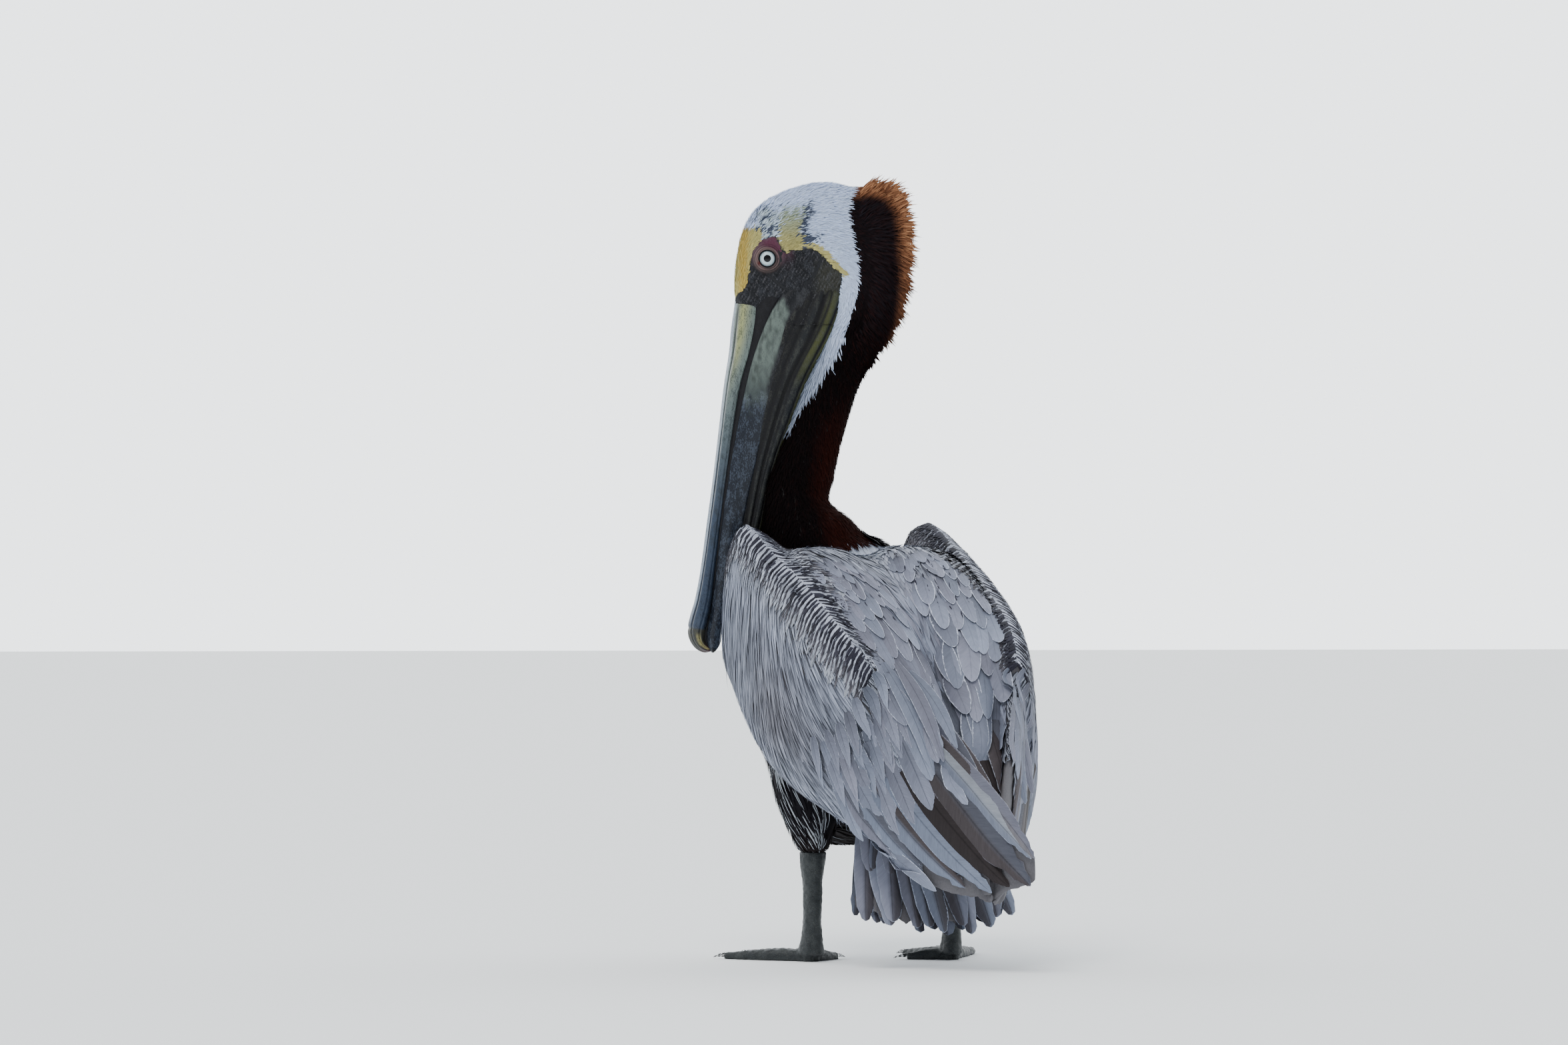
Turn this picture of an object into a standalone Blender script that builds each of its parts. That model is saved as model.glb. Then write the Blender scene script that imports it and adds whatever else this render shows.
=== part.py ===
"""A brown pelican at rest, standing on two webbed feet with its head turned to its left, life size.

The body faces -Y, its left is +X and up is +Z. Sizes below are millimetres, and MM turns them into
Blender's metres. The head and the upper neck lie in an upright plane that is turned to the left by
HEAD_TURN. In that plane a point has a place "aft" (towards the nape) and "side" (the head's left).
"""

import math

import bmesh
import bpy
from mathutils import Matrix, Vector

MM = 0.001
GAP = 0.3  # between two pieces that meet
HEAD_TURN = math.radians(65)
HEAD_PLANE = -68  # how far the head's own middle plane lies to the side of the body's upright axis

# Trunk, as level slices from the belly up: height, half width, front, back.
TRUNK = [
    (100, 20, -62, -14),
    (108, 40, -88, 24),
    (121, 53, -104, 56),
    (143, 66, -121, 95),
    (178, 78, -134, 126),
    (220, 86, -139, 140),
    (262, 88, -137, 132),
    (300, 84, -130, 108),
    (330, 74, -121, 72),
    (350, 58, -112, 36),
    (362, 36, -98, 0),
]

# Neck: height, aft, side of HEAD_PLANE, half depth fore and aft, half width, share of the head's turn.
NECK = [
    (322, -26, 2, 48, 66, 0.0),
    (348, -32, 4, 47, 60, 0.1),
    (372, -47, 4, 47, 49, 0.35),
    (399, -60.5, 1, 36.5, 36, 0.75),
    (428, -59.5, 0, 31, 29, 1.0),
    (462, -49.5, 0, 27, 26, 1.0),
    (505, -35, 0, 25, 25, 1.0),
    (546, -17, 0, 24.5, 25, 1.0),
    (588, -4, 0, 26, 26, 1.0),
    (622, -2, 0, 27, 26.5, 1.0),
    (650, -6, 0, 26, 25, 1.0),
]
NECK_LENGTHS = {"neck_lower": (0.0, 0.38), "neck_middle": (0.38, 0.66), "neck_upper": (0.66, 1.0)}

# Head, as upright slices from the nape forwards: aft, top, bottom, half width.
HEAD = [
    (25, 662, 636, 10),
    (18, 679, 611, 21),
    (2, 690, 594, 26.5),
    (-20, 696, 584, 29),
    (-45, 698, 577, 30.5),
    (-68, 692, 573, 30),
    (-88, 683, 570, 26.5),
    (-102, 671, 571, 25),
    (-111, 653, 574, 22),
    (-116, 630, 579, 18.5),
    (-118, 607, 586, 12),
]
EYE_PLACE = (-88.7, 628.7)
EYE_RADIUS = 8.2
EYE_SIDE = 22

# Upper bill, as slices across its own run, from the face down to the hooked nail: aft, height, half
# depth, half width. The nail is the last share of it.
UPPER_BILL = [
    (-103.4, 592.5, 14.5, 16),
    (-106.5, 568.1, 14, 21),
    (-111.6, 541.8, 11, 22.5),
    (-118.7, 512.3, 8.5, 21),
    (-125.3, 465.6, 7.3, 18),
    (-132.9, 407.8, 6.7, 15.5),
    (-140.5, 350.9, 6.8, 15),
    (-145.1, 318.4, 7.8, 16),
    (-149.1, 300.2, 8.5, 15.5),
    (-151.7, 289, 8, 13),
    (-151.7, 280.4, 7, 9.5),
    (-148.6, 273.3, 5.2, 7),
    (-142.5, 269.2, 3.2, 4.5),
    (-136.4, 268.2, 1.4, 2),
]
NAIL_FROM = 0.69

# Each side of the lower bill: aft, height, half depth, distance from the middle plane.
LOWER_BILL = [
    (-47.6, 610.8, 11, 25),
    (-72, 582.3, 11, 25),
    (-90.2, 543.8, 10, 23.5),
    (-101.4, 503.2, 9, 21),
    (-111.6, 452.4, 8, 18),
    (-120.7, 397.6, 7.5, 15.5),
    (-127.8, 344.8, 7, 13.5),
    (-133.4, 306.3, 6.5, 10),
    (-136.9, 283.9, 5.5, 4),
]
RAMUS_THICK = 2.8

# Pouch, as slices along the bill: aft and height of its front edge, the same of its rear edge, half width.
POUCH = [
    (-61.8, 608.7, -20.2, 615.8, 19),
    (-76, 594.5, -16.1, 594.5, 25),
    (-92.3, 562, -29.3, 557, 26),
    (-103.4, 523.5, -47.6, 517.4, 24),
    (-112.6, 480.9, -65.9, 473.7, 21),
    (-119.7, 434.2, -82.1, 430.1, 17.5),
    (-126.8, 381.4, -95.3, 377.3, 14),
    (-132.9, 332.7, -112.6, 330.6, 9.5),
    (-135.9, 306.3, -124.8, 305.3, 4.5),
]

# Left wing's arm, as upright slices from the wrist back: y, top x and z, bottom x and z, bulge, depth.
WING = [
    (-94, 96, 334, 99, 284, 3, 5),
    (-90, 95, 355, 99, 262, 8, 14),
    (-78, 93, 380, 98, 244, 12, 24),
    (-58, 93, 392, 98, 226, 15, 34),
    (-22, 92, 376, 100, 198, 21, 44),
    (30, 90, 349, 104, 168, 25, 50),
    (80, 86, 321, 103, 146, 25, 48),
    (125, 80, 294, 88, 125, 21, 40),
    (160, 68, 264, 64, 101, 15, 26),
]
# Left flight feathers, the same way. They pass over the rump to the other side.
FLIGHT = [
    (150, 70, 260, 70, 111, 13, 20),
    (175, 52, 233, 50, 84, 10, 12),
    (200, 31, 200, 27, 66, 8, 9),
    (222, 9, 166, 7, 58, 7, 7),
    (240, -9, 138, -9, 57, 6, 6),
    (254, -24, 116, -26, 62, 4.5, 4.5),
    (262, -33, 102, -35, 70, 3, 3),
]
# How the right flight feathers differ: they stop short, and lie under the left ones.
RIGHT_TIP_DROP = 16
RIGHT_TIP_INWARD = 26

# Left shoulder feathers, a long mound beside the spine: y, x, z, half width, half height.
SHOULDER = [
    (-34, 36, 352, 18, 8),
    (-14, 44, 351, 38, 20),
    (22, 46, 336, 46, 28),
    (64, 46, 309, 47, 35),
    (104, 44, 275, 45, 38),
    (140, 34, 240, 33, 38),
    (168, 21, 206, 20, 32),
    (192, 13, 178, 11, 19),
]

# Tail: a fan of feathers that hangs behind the rump.
TAIL_ROOT = Vector((0, 100, 142))
TAIL_LENGTH = 118
TAIL_LEAN = math.radians(72)  # below the horizon
TAIL_HALF_ROOT = 52
TAIL_HALF_TIP = 76
TAIL_FEATHERS = 9
TAIL_THICK = 7

# Legs. A foot is turned outwards by FOOT_TURN.
LEG_SIDE = 62
LEG_BACK = {1: 18, -1: 46}  # the right foot stands a little behind the left
FOOT_TURN = math.radians(14)
THIGH = [
    (172, 4, -6, 30, 42),
    (150, 2, -4, 29, 36),
    (128, 1, -2, 24, 27),
    (108, 0, 0, 16, 18),
    (97, 0, 0, 12.5, 14),
]
SHANK = [
    (96.5, 0, 0, 11, 13),
    (88, 0, 0, 10.5, 13),
    (74, 0, 0, 8, 10.5),
    (50, 0, 0, 7, 9.5),
    (26, 0, -1, 7.5, 10),
    (12, 0, -3, 9.5, 13),
    (5.5, 0, -5, 11, 15),
]
# Toes: name, direction from straight ahead (outwards is positive), length, half width at root and tip.
TOES = [
    ("outer", 27, 82, 6.5, 4.2),
    ("middle", 2, 88, 7, 4.4),
    ("inner", -24, 68, 6.5, 4.2),
    ("back", -78, 38, 5.5, 3.6),
]
TOE_HIGH = 12
WEB_THICK = 2.4
CLAW_LENGTH = 12

# The mane's outer edge, from the crown to the back of the neck: aft, height, how deep it reaches in,
# half width.
MANE = [
    (-12, 700, 12, 4),
    (2, 704, 16, 8),
    (19, 703, 20, 12),
    (34, 692, 25, 15),
    (43, 671, 28, 17),
    (46, 648, 30, 18),
    (45, 620, 30, 18),
    (41, 592, 29, 17),
    (33, 566, 27, 15),
    (20, 541, 23, 12),
    (5, 518, 19, 9),
    (-4, 502, 15, 6),
]
MANE_TOOTH = 3.5
MANE_TEETH = 11

PLUMAGE = {
    "silver": ((0.42, 0.42, 0.45), 0.65),
    "brown": ((0.035, 0.014, 0.009), 0.7),
    "white": ((0.78, 0.78, 0.77), 0.7),
    "rufous": ((0.22, 0.07, 0.03), 0.7),
    "dark": ((0.09, 0.075, 0.07), 0.65),
    "belly": ((0.06, 0.045, 0.035), 0.7),
    "horn": ((0.20, 0.23, 0.21), 0.35),
    "pouch": ((0.07, 0.075, 0.05), 0.5),
    "skin": ((0.03, 0.032, 0.035), 0.5),
    "eye": ((0.75, 0.82, 0.82), 0.1),
    "claw": ((0.02, 0.02, 0.022), 0.35),
}


def clear_scene():
    for old in list(bpy.data.objects):
        bpy.data.objects.remove(old, do_unlink=True)


def collection(name):
    made = bpy.data.collections.new(name)
    bpy.context.scene.collection.children.link(made)
    return made


def material(name):
    colour, roughness = PLUMAGE[name]
    made = bpy.data.materials.get(name)
    if made is None:
        made = bpy.data.materials.new(name)
        made.use_nodes = True
        shader = made.node_tree.nodes["Principled BSDF"]
        shader.inputs["Base Color"].default_value = (*colour, 1)
        shader.inputs["Roughness"].default_value = roughness
        shader.inputs["Metallic"].default_value = 0
        made.diffuse_color = (*colour, 1)
    return made


def between(rows, share):
    """The row at a share of the way through a table, on a smooth curve through its rows."""
    place = share * (len(rows) - 1)
    i = min(int(place), len(rows) - 2)
    t = place - i
    before, after = rows[max(i - 1, 0)], rows[min(i + 2, len(rows) - 1)]
    weights = (
        (-t + 2 * t * t - t**3) / 2,
        (2 - 5 * t * t + 3 * t**3) / 2,
        (t + 4 * t * t - 3 * t**3) / 2,
        (-t * t + t**3) / 2,
    )
    four = zip(before, rows[i], rows[i + 1], after)
    return [sum(w * v for w, v in zip(weights, column)) for column in four]


def in_head(aft, side, height):
    """The body's coordinates of a point given in the head's turned plane."""
    turned = Matrix.Rotation(HEAD_TURN, 3, "Z") @ Vector((HEAD_PLANE + side, aft, 0))
    return Vector((turned.x, turned.y, height))


def oval(centre, across, up, outer, inner, high, low, count, power=2.0):
    """A ring round a centre, with its own reach on each of its four sides. A power over 2 squares it."""
    ring = []
    for k in range(count):
        angle = 2 * math.pi * k / count
        c, s = math.cos(angle), math.sin(angle)
        x = math.copysign(abs(c) ** (2 / power), c) * (outer if c > 0 else inner)
        y = math.copysign(abs(s) ** (2 / power), s) * (high if s > 0 else low)
        ring.append(centre + across * x + up * y)
    return ring


def mesh_object(name, bm, look, group):
    bmesh.ops.recalc_face_normals(bm, faces=bm.faces)
    bmesh.ops.scale(bm, vec=(MM, MM, MM), verts=bm.verts)
    data = bpy.data.meshes.new(name)
    bm.to_mesh(data)
    bm.free()
    data.shade_smooth()
    data.set_sharp_from_angle(angle=math.radians(50))
    made = bpy.data.objects.new(name, data)
    data.materials.append(material(look))
    group.objects.link(made)
    return made


def loft_mesh(rings, thin=False):
    """A closed skin through rings that have equal numbers of points, with a fan over each end.

    A thin ring, whose second half runs back under its first, is closed by a strip between the halves.
    """
    bm = bmesh.new()
    loops = [[bm.verts.new(p) for p in ring] for ring in rings]
    for here, after in zip(loops, loops[1:]):
        for i in range(len(here)):
            j = (i + 1) % len(here)
            bm.faces.new((here[i], here[j], after[j], after[i]))
    for end in (loops[0], loops[-1]):
        if thin:
            for i in range(len(end) // 2 - 1):
                bm.faces.new((end[i], end[i + 1], end[-2 - i], end[-1 - i]))
            continue
        middle = bm.verts.new(sum((v.co for v in end), Vector()) / len(end))
        for i in range(len(end)):
            bm.faces.new((end[i], end[(i + 1) % len(end)], middle))
    bmesh.ops.triangulate(bm, faces=bm.faces)
    return bm


def grown(rings, by):
    """The rings of a shape moved outwards, for a cutter that leaves a gap."""
    middles = [sum(ring, Vector()) / len(ring) for ring in rings]
    wider = [[p + (p - m).normalized() * by for p in ring] for ring, m in zip(rings, middles)]
    first, last = middles[0] - middles[1], middles[-1] - middles[-2]
    wider[0] = [p + first.normalized() * by for p in wider[0]]
    wider[-1] = [p + last.normalized() * by for p in wider[-1]]
    return wider


class Builder:
    """Makes the pieces, keeps a slightly grown cutter of each, and cuts later pieces to fit."""

    def __init__(self):
        self.parts = collection("brown_pelican")
        self.helpers = collection("cutters")
        self.cutters = {}

    def piece(self, name, bm, look, fits=()):
        made = mesh_object(name, bm, look, self.parts)
        for other in fits:
            cut = made.modifiers.new("clear_of_" + other, "BOOLEAN")
            cut.operation = "DIFFERENCE"
            cut.solver = "EXACT"
            cut.object = self.cutters[other]
        return made

    def loft(self, name, rings, look, fits=()):
        cutter = mesh_object(name + "_cutter", loft_mesh(grown(rings, GAP)), look, self.helpers)
        cutter.hide_render = True
        cutter.display_type = "WIRE"
        self.cutters[name] = cutter
        return self.piece(name, loft_mesh(rings), look, fits)


# ---------------------------------------------------------------- trunk, neck and head


def trunk_rings(count=18, slices=11):
    across, along = Vector((1, 0, 0)), Vector((0, 1, 0))
    rings = []
    for k in range(slices):
        height, half, front, back = between(TRUNK, k / (slices - 1))
        middle = Vector((0, (front + back) / 2, height))
        reach = (back - front) / 2
        rings.append(oval(middle, across, along, half, half, reach, reach, count, 2.1))
    return rings


def neck_ring(share, count=16):
    height, aft, side, deep, wide, turn = between(NECK, share)
    centre = in_head(aft, side, height)
    turned = Matrix.Rotation(HEAD_TURN * turn, 3, "Z")
    ahead = between(NECK, min(share + 0.02, 1.0))
    behind = between(NECK, max(share - 0.02, 0.0))
    run = in_head(*ahead[1:3], ahead[0]) - in_head(*behind[1:3], behind[0])
    across = turned @ Vector((1, 0, 0))
    up = across.cross(run).normalized()
    across = run.cross(up).normalized()
    return oval(centre, across, up, wide, wide, deep, deep, count)


def neck_rings(low, high):
    slack = GAP / 2 / (NECK[-1][0] - NECK[0][0])
    first = low + (slack if low > 0 else 0)
    last = high - (slack if high < 1 else 0)
    slices = 5
    return [neck_ring(first + (last - first) * k / (slices - 1)) for k in range(slices)]


def head_rings(count=20, slices=13):
    rings = []
    for k in range(slices):
        aft, top, bottom, half = between(HEAD, k / (slices - 1))
        middle = (top + bottom) / 2
        reach = (top - bottom) / 2
        across = in_head(0, 1, 0) - in_head(0, 0, 0)
        centre = in_head(aft, 0, middle)
        rings.append(oval(centre, across, Vector((0, 0, 1)), half, half, reach, reach, count, 2.15))
    return rings


def mane_rings(slices=2 * MANE_TEETH + 1, count=8):
    """The mane down the back of the head and neck: a ridge whose edge is a row of points."""
    lateral = in_head(0, 1, 0) - in_head(0, 0, 0)
    rings = []
    for k in range(slices):
        share = k / (slices - 1)
        aft, height, deep, half = between(MANE, share)
        ahead = between(MANE, min(share + 0.03, 1.0))
        behind = between(MANE, max(share - 0.03, 0.0))
        run = Vector((ahead[0] - behind[0], ahead[1] - behind[1])).normalized()
        outward = in_head(-run.y, 0, run.x) - in_head(0, 0, 0)
        tooth = 0 if k % 2 else MANE_TOOTH
        centre = in_head(aft, 0, height) - outward * (deep / 2)
        rings.append(oval(centre, lateral, outward, half, half, deep / 2 - tooth, deep / 2, count))
    return rings


def eye_mesh():
    bm = bmesh.new()
    bmesh.ops.create_uvsphere(bm, u_segments=10, v_segments=8, radius=EYE_RADIUS)
    return bm


# ---------------------------------------------------------------- bill


def upper_bill_rings(low, high, slices, count=12):
    lateral = in_head(0, 1, 0) - in_head(0, 0, 0)
    rings = []
    for k in range(slices):
        share = low + (high - low) * k / (slices - 1)
        aft, height, deep, half = between(UPPER_BILL, share)
        ahead = between(UPPER_BILL, min(share + 0.02, 1.0))
        behind = between(UPPER_BILL, max(share - 0.02, 0.0))
        run = Vector((ahead[0] - behind[0], ahead[1] - behind[1])).normalized()
        outward = in_head(run.y, 0, -run.x) - in_head(0, 0, 0)
        rings.append(oval(in_head(aft, 0, height), lateral, outward, half, half, deep, deep, count, 2.3))
    return rings


def ramus_rings(side, count=8, slices=12):
    lateral = in_head(0, 1, 0) - in_head(0, 0, 0)
    rings = []
    for k in range(slices):
        aft, height, deep, out = between(LOWER_BILL, k / (slices - 1))
        ahead = between(LOWER_BILL, min((k + 0.5) / (slices - 1), 1))
        behind = between(LOWER_BILL, max((k - 0.5) / (slices - 1), 0))
        run = Vector((ahead[0] - behind[0], ahead[1] - behind[1])).normalized()
        outward = in_head(run.y, 0, -run.x) - in_head(0, 0, 0)
        centre = in_head(aft, side * (out - RAMUS_THICK), height)
        rings.append(oval(centre, lateral, outward, RAMUS_THICK, RAMUS_THICK, deep, deep, count, 2.4))
    return rings


def pouch_rings(count=10, slices=10):
    lateral = in_head(0, 1, 0) - in_head(0, 0, 0)
    rings = []
    for k in range(slices):
        front, front_z, rear, rear_z, half = between(POUCH, k / (slices - 1))
        start, end = in_head(front, 0, front_z), in_head(rear, 0, rear_z)
        reach = (end - start).length / 2
        middle, along = (start + end) / 2, (end - start).normalized()
        rings.append(oval(middle, lateral, along, half, half, reach, reach, count, 2.6))
    return rings


# ---------------------------------------------------------------- wings, shoulders and tail


def wing_rings(rows, side, count=12, slices=12, tip_drop=0.0, tip_inward=0.0):
    rings = []
    for k in range(slices):
        share = k / (slices - 1)
        y, top_x, top_z, low_x, low_z, bulge, deep = between(rows, share)
        low_x, top_x = low_x + tip_inward * share, top_x + tip_inward * share
        low_z, top_z = low_z - 0.2 * tip_drop * share, top_z - tip_drop * share
        top, low = Vector((side * top_x, y, top_z)), Vector((side * low_x, y, low_z))
        up = (top - low).normalized()
        across = Vector((side * up.z, 0, -side * up.x))
        reach = (top - low).length / 2
        rings.append(oval((top + low) / 2, across, up, bulge, deep, reach, reach, count, 2.5))
    return rings


def shoulder_rings(side, count=12, slices=10):
    rings = []
    for k in range(slices):
        y, x, z, half, high = between(SHOULDER, k / (slices - 1))
        centre = Vector((side * x, y, z))
        rings.append(oval(centre, Vector((1, 0, 0)), Vector((0, 0, 1)), half, half, high, high, count, 2.5))
    return rings


def tail_mesh():
    """A fan with one round end for each feather, arched a little from side to side."""
    down = Vector((0, math.cos(TAIL_LEAN), -math.sin(TAIL_LEAN)))
    out = Vector((0, math.sin(TAIL_LEAN), math.cos(TAIL_LEAN)))
    rows, steps = 4, 4 * TAIL_FEATHERS
    rings = []
    for r in range(rows):
        share = r / (rows - 1)
        half = TAIL_HALF_ROOT + (TAIL_HALF_TIP - TAIL_HALF_ROOT) * share
        edge = []
        for k in range(steps + 1):
            across = 2 * k / steps - 1
            lobe = abs(math.sin(math.pi * TAIL_FEATHERS * (across + 1) / 2)) ** 0.6
            reach = TAIL_LENGTH * (1 - 0.16 * across * across) - 9 * (1 - lobe)
            arch = 14 * share * (1 - across * across)
            edge.append(TAIL_ROOT + Vector((half * across, 0, 0)) + down * reach * share + out * arch)
        thick = TAIL_THICK * (1 - 0.65 * share)
        rings.append(edge + [p - out * thick for p in reversed(edge)])
    return loft_mesh(rings, thin=True)


# ---------------------------------------------------------------- legs


def leg_rings(rows, side, slices, count=12):
    turned = Matrix.Rotation(side * FOOT_TURN, 3, "Z")
    rings = []
    for k in range(slices):
        height, out, back, half, reach = between(rows, k / (slices - 1))
        centre = Vector((side * (LEG_SIDE + out), LEG_BACK[side] + back, height))
        across, along = turned @ Vector((1, 0, 0)), turned @ Vector((0, 1, 0))
        rings.append(oval(centre, across, along, half, half, reach, reach, count))
    return rings


def heel(side):
    return Vector((side * LEG_SIDE, LEG_BACK[side] - 5, 0))


def toe_direction(side, angle):
    return Matrix.Rotation(side * (FOOT_TURN + math.radians(angle)), 3, "Z") @ Vector((0, -1, 0))


def toe_mesh(side, angle, length, root_half, tip_half, start, deep):
    """A toe: round on top, flat below and swollen at each joint. It reaches a little under the floor."""
    run = toe_direction(side, angle)
    across = Vector((-run.y, run.x, 0))
    rings = []
    slices = 6
    for k in range(slices):
        share = k / (slices - 1)
        swell = 1 + 0.1 * math.cos(4 * math.pi * share)
        half = (root_half + (tip_half - root_half) * share) * swell
        high = (TOE_HIGH * (1 - 0.42 * share)) * swell
        if k == slices - 1:
            half, high = 0.75 * half, 0.8 * high
        centre = heel(side) + run * (length * share - start * (1 - share))
        floor = Vector((0, 0, -deep))
        ring = [centre + floor - across * half, centre + floor + across * half]
        for j in range(1, 5):
            turn = math.pi * j / 5
            sideways = across * (half * math.cos(turn) * 1.02)
            ring.append(centre + sideways + Vector((0, 0, high * math.sin(turn))))
        rings.append(ring)
    return loft_mesh(rings)


def floor_cutter(build, name, side):
    """A block under the floor, which gives a foot its flat sole."""
    bm = bmesh.new()
    bmesh.ops.create_cube(bm, size=1)
    bmesh.ops.scale(bm, vec=(400, 400, 20), verts=bm.verts)
    bmesh.ops.translate(bm, vec=(side * LEG_SIDE, 0, -10), verts=bm.verts)
    made = mesh_object(name + "_floor", bm, "skin", build.helpers)
    made.hide_render = True
    made.display_type = "WIRE"
    return made


def web_mesh(side):
    """The skin between the toes, with a hollow edge from each toe's tip to the next."""
    tips = [heel(side) + toe_direction(side, angle) * (length - 5) for _, angle, length, _, _ in TOES]
    outline = [heel(side)]
    for here, after in zip(tips, tips[1:]):
        middle = (here + after) / 2 * 0.82 + heel(side) * 0.18
        for k in range(4):
            t = k / 4
            outline.append(here * (1 - t) ** 2 + middle * 2 * t * (1 - t) + after * t * t)
    outline.append(tips[-1])
    bm = bmesh.new()
    face = bm.faces.new([bm.verts.new(p) for p in outline])
    grown_face = bmesh.ops.extrude_face_region(bm, geom=[face])
    moved = [v for v in grown_face["geom"] if isinstance(v, bmesh.types.BMVert)]
    bmesh.ops.translate(bm, vec=(0, 0, WEB_THICK + 3), verts=moved)
    bmesh.ops.translate(bm, vec=(0, 0, -3), verts=bm.verts)
    bmesh.ops.triangulate(bm, faces=bm.faces)
    return bm


def foot(build, name, side):
    """Four toes and the web between them, in one piece."""
    made = build.piece(name, web_mesh(side), "skin")
    for k, (toe, angle, length, root_half, tip_half) in enumerate(TOES):
        shape = toe_mesh(side, angle, length, root_half, tip_half, 3 + 0.9 * k, 0.7 + 0.4 * k)
        helper = mesh_object(f"{name}_{toe}_toe", shape, "skin", build.helpers)
        helper.hide_render = True
        helper.display_type = "WIRE"
        join = made.modifiers.new("toe_" + toe, "BOOLEAN")
        join.operation = "UNION"
        join.solver = "EXACT"
        join.object = helper
    flat = made.modifiers.new("flat_sole", "BOOLEAN")
    flat.operation = "DIFFERENCE"
    flat.solver = "EXACT"
    flat.object = floor_cutter(build, name, side)
    return made


def claw_mesh(side, angle, length, tip_half):
    """A short curved claw that springs from a toe's tip and comes down to the floor."""
    run = toe_direction(side, angle)
    across = Vector((-run.y, run.x, 0))
    rings = []
    slices = 4
    for k in range(slices):
        share = k / (slices - 1)
        half = 0.62 * tip_half * (1 - 0.85 * share)
        high = 3.4 - 2.2 * share * share
        centre = heel(side) + run * (length + GAP + CLAW_LENGTH * share) + Vector((0, 0, high))
        rings.append(oval(centre, across, Vector((0, 0, 1)), half, half, half * 1.1, half * 0.9, 6))
    return loft_mesh(rings)


# ---------------------------------------------------------------- assembly


def build_body(build):
    build.loft("trunk", trunk_rings(), "belly")
    build.loft("head", head_rings(), "white")
    looks = {"neck_lower": "brown", "neck_middle": "brown", "neck_upper": "brown"}
    fits = {"neck_lower": ("trunk",), "neck_middle": (), "neck_upper": ("head",)}
    for name, (low, high) in NECK_LENGTHS.items():
        build.loft(name, neck_rings(low, high), looks[name], fits[name])
    build.loft("mane", mane_rings(), "rufous", ("head", "neck_upper", "neck_middle"))


def build_face(build):
    build.loft("bill_upper", upper_bill_rings(0, NAIL_FROM, 10), "horn", ("head",))
    build.loft("bill_nail", upper_bill_rings(NAIL_FROM + 0.001, 1, 6), "horn")
    ramus = {}
    for side, name in ((1, "left"), (-1, "right")):
        ramus[name] = "bill_lower_" + name
        fits = ("head", "bill_upper", "bill_nail") + (() if side > 0 else ("bill_lower_left",))
        build.loft(ramus[name], ramus_rings(side), "horn", fits)
    neighbours = ("head", "bill_upper", *ramus.values(), "neck_upper", "neck_middle", "neck_lower")
    build.loft("pouch", pouch_rings(), "pouch", neighbours)
    for side, name in ((1, "eye_left"), (-1, "eye_right")):
        eye = build.piece(name, eye_mesh(), "eye")
        eye.location = in_head(EYE_PLACE[0], side * EYE_SIDE, EYE_PLACE[1]) * MM
        hollow = mesh_object(name + "_socket", eye_mesh(), "eye", build.helpers)
        hollow.scale = Vector((1, 1, 1)) * (1 + GAP / EYE_RADIUS)
        hollow.location = eye.location
        hollow.hide_render = True
        hollow.display_type = "WIRE"
        cut = bpy.data.objects["head"].modifiers.new(name + "_socket", "BOOLEAN")
        cut.operation = "DIFFERENCE"
        cut.solver = "EXACT"
        cut.object = hollow


def build_wings(build):
    for side, name in ((1, "left"), (-1, "right")):
        build.loft("scapulars_" + name, shoulder_rings(side), "silver",
                   ("trunk", "neck_lower") + (() if side > 0 else ("scapulars_left",)))
    for side, name in ((1, "left"), (-1, "right")):
        neighbours = ("trunk", "neck_lower", "scapulars_" + name)
        build.loft("wing_" + name, wing_rings(WING, side), "silver", neighbours)
    solids = ("trunk", "scapulars_left", "scapulars_right", "wing_left", "wing_right")
    build.loft("flight_left", wing_rings(FLIGHT, 1, slices=9), "dark", solids)
    right_rings = wing_rings(FLIGHT, -1, slices=9, tip_drop=RIGHT_TIP_DROP, tip_inward=RIGHT_TIP_INWARD)
    build.loft("flight_right", right_rings, "dark", solids + ("flight_left",))
    build.piece("tail", tail_mesh(), "dark", solids + ("flight_left", "flight_right"))


def build_legs(build):
    for side, name in ((1, "left"), (-1, "right")):
        build.loft("thigh_" + name, leg_rings(THIGH, side, 6), "belly", ("trunk", "wing_" + name))
        build.loft("shank_" + name, leg_rings(SHANK, side, 9), "skin", ("thigh_" + name,))
        foot_made = foot(build, "foot_" + name, side)
        cut = foot_made.modifiers.new("clear_of_shank", "BOOLEAN")
        cut.operation = "DIFFERENCE"
        cut.solver = "EXACT"
        cut.object = build.cutters["shank_" + name]
        for toe, angle, length, _, tip_half in TOES:
            build.piece(f"claw_{name}_{toe}", claw_mesh(side, angle, length, tip_half), "claw")


def centre_on_floor(build):
    """Hangs every piece on one empty, and moves it so that the origin is under the middle of the bird."""
    origin = bpy.data.objects.new("brown_pelican_origin", None)
    build.parts.objects.link(origin)
    bpy.context.view_layer.update()
    graph = bpy.context.evaluated_depsgraph_get()
    corners = []
    for part in build.parts.objects:
        if part.type == "MESH":
            shown = part.evaluated_get(graph)
            corners += [part.matrix_world @ v.co for v in shown.data.vertices]
    low = Vector(min(c[i] for c in corners) for i in range(3))
    high = Vector(max(c[i] for c in corners) for i in range(3))
    for item in list(build.parts.objects) + list(build.helpers.objects):
        if item is not origin:
            item.parent = origin
    origin.location = (-(low.x + high.x) / 2, -(low.y + high.y) / 2, -low.z)


clear_scene()
builder = Builder()
build_body(builder)
build_face(builder)
build_wings(builder)
build_legs(builder)
centre_on_floor(builder)
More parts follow.
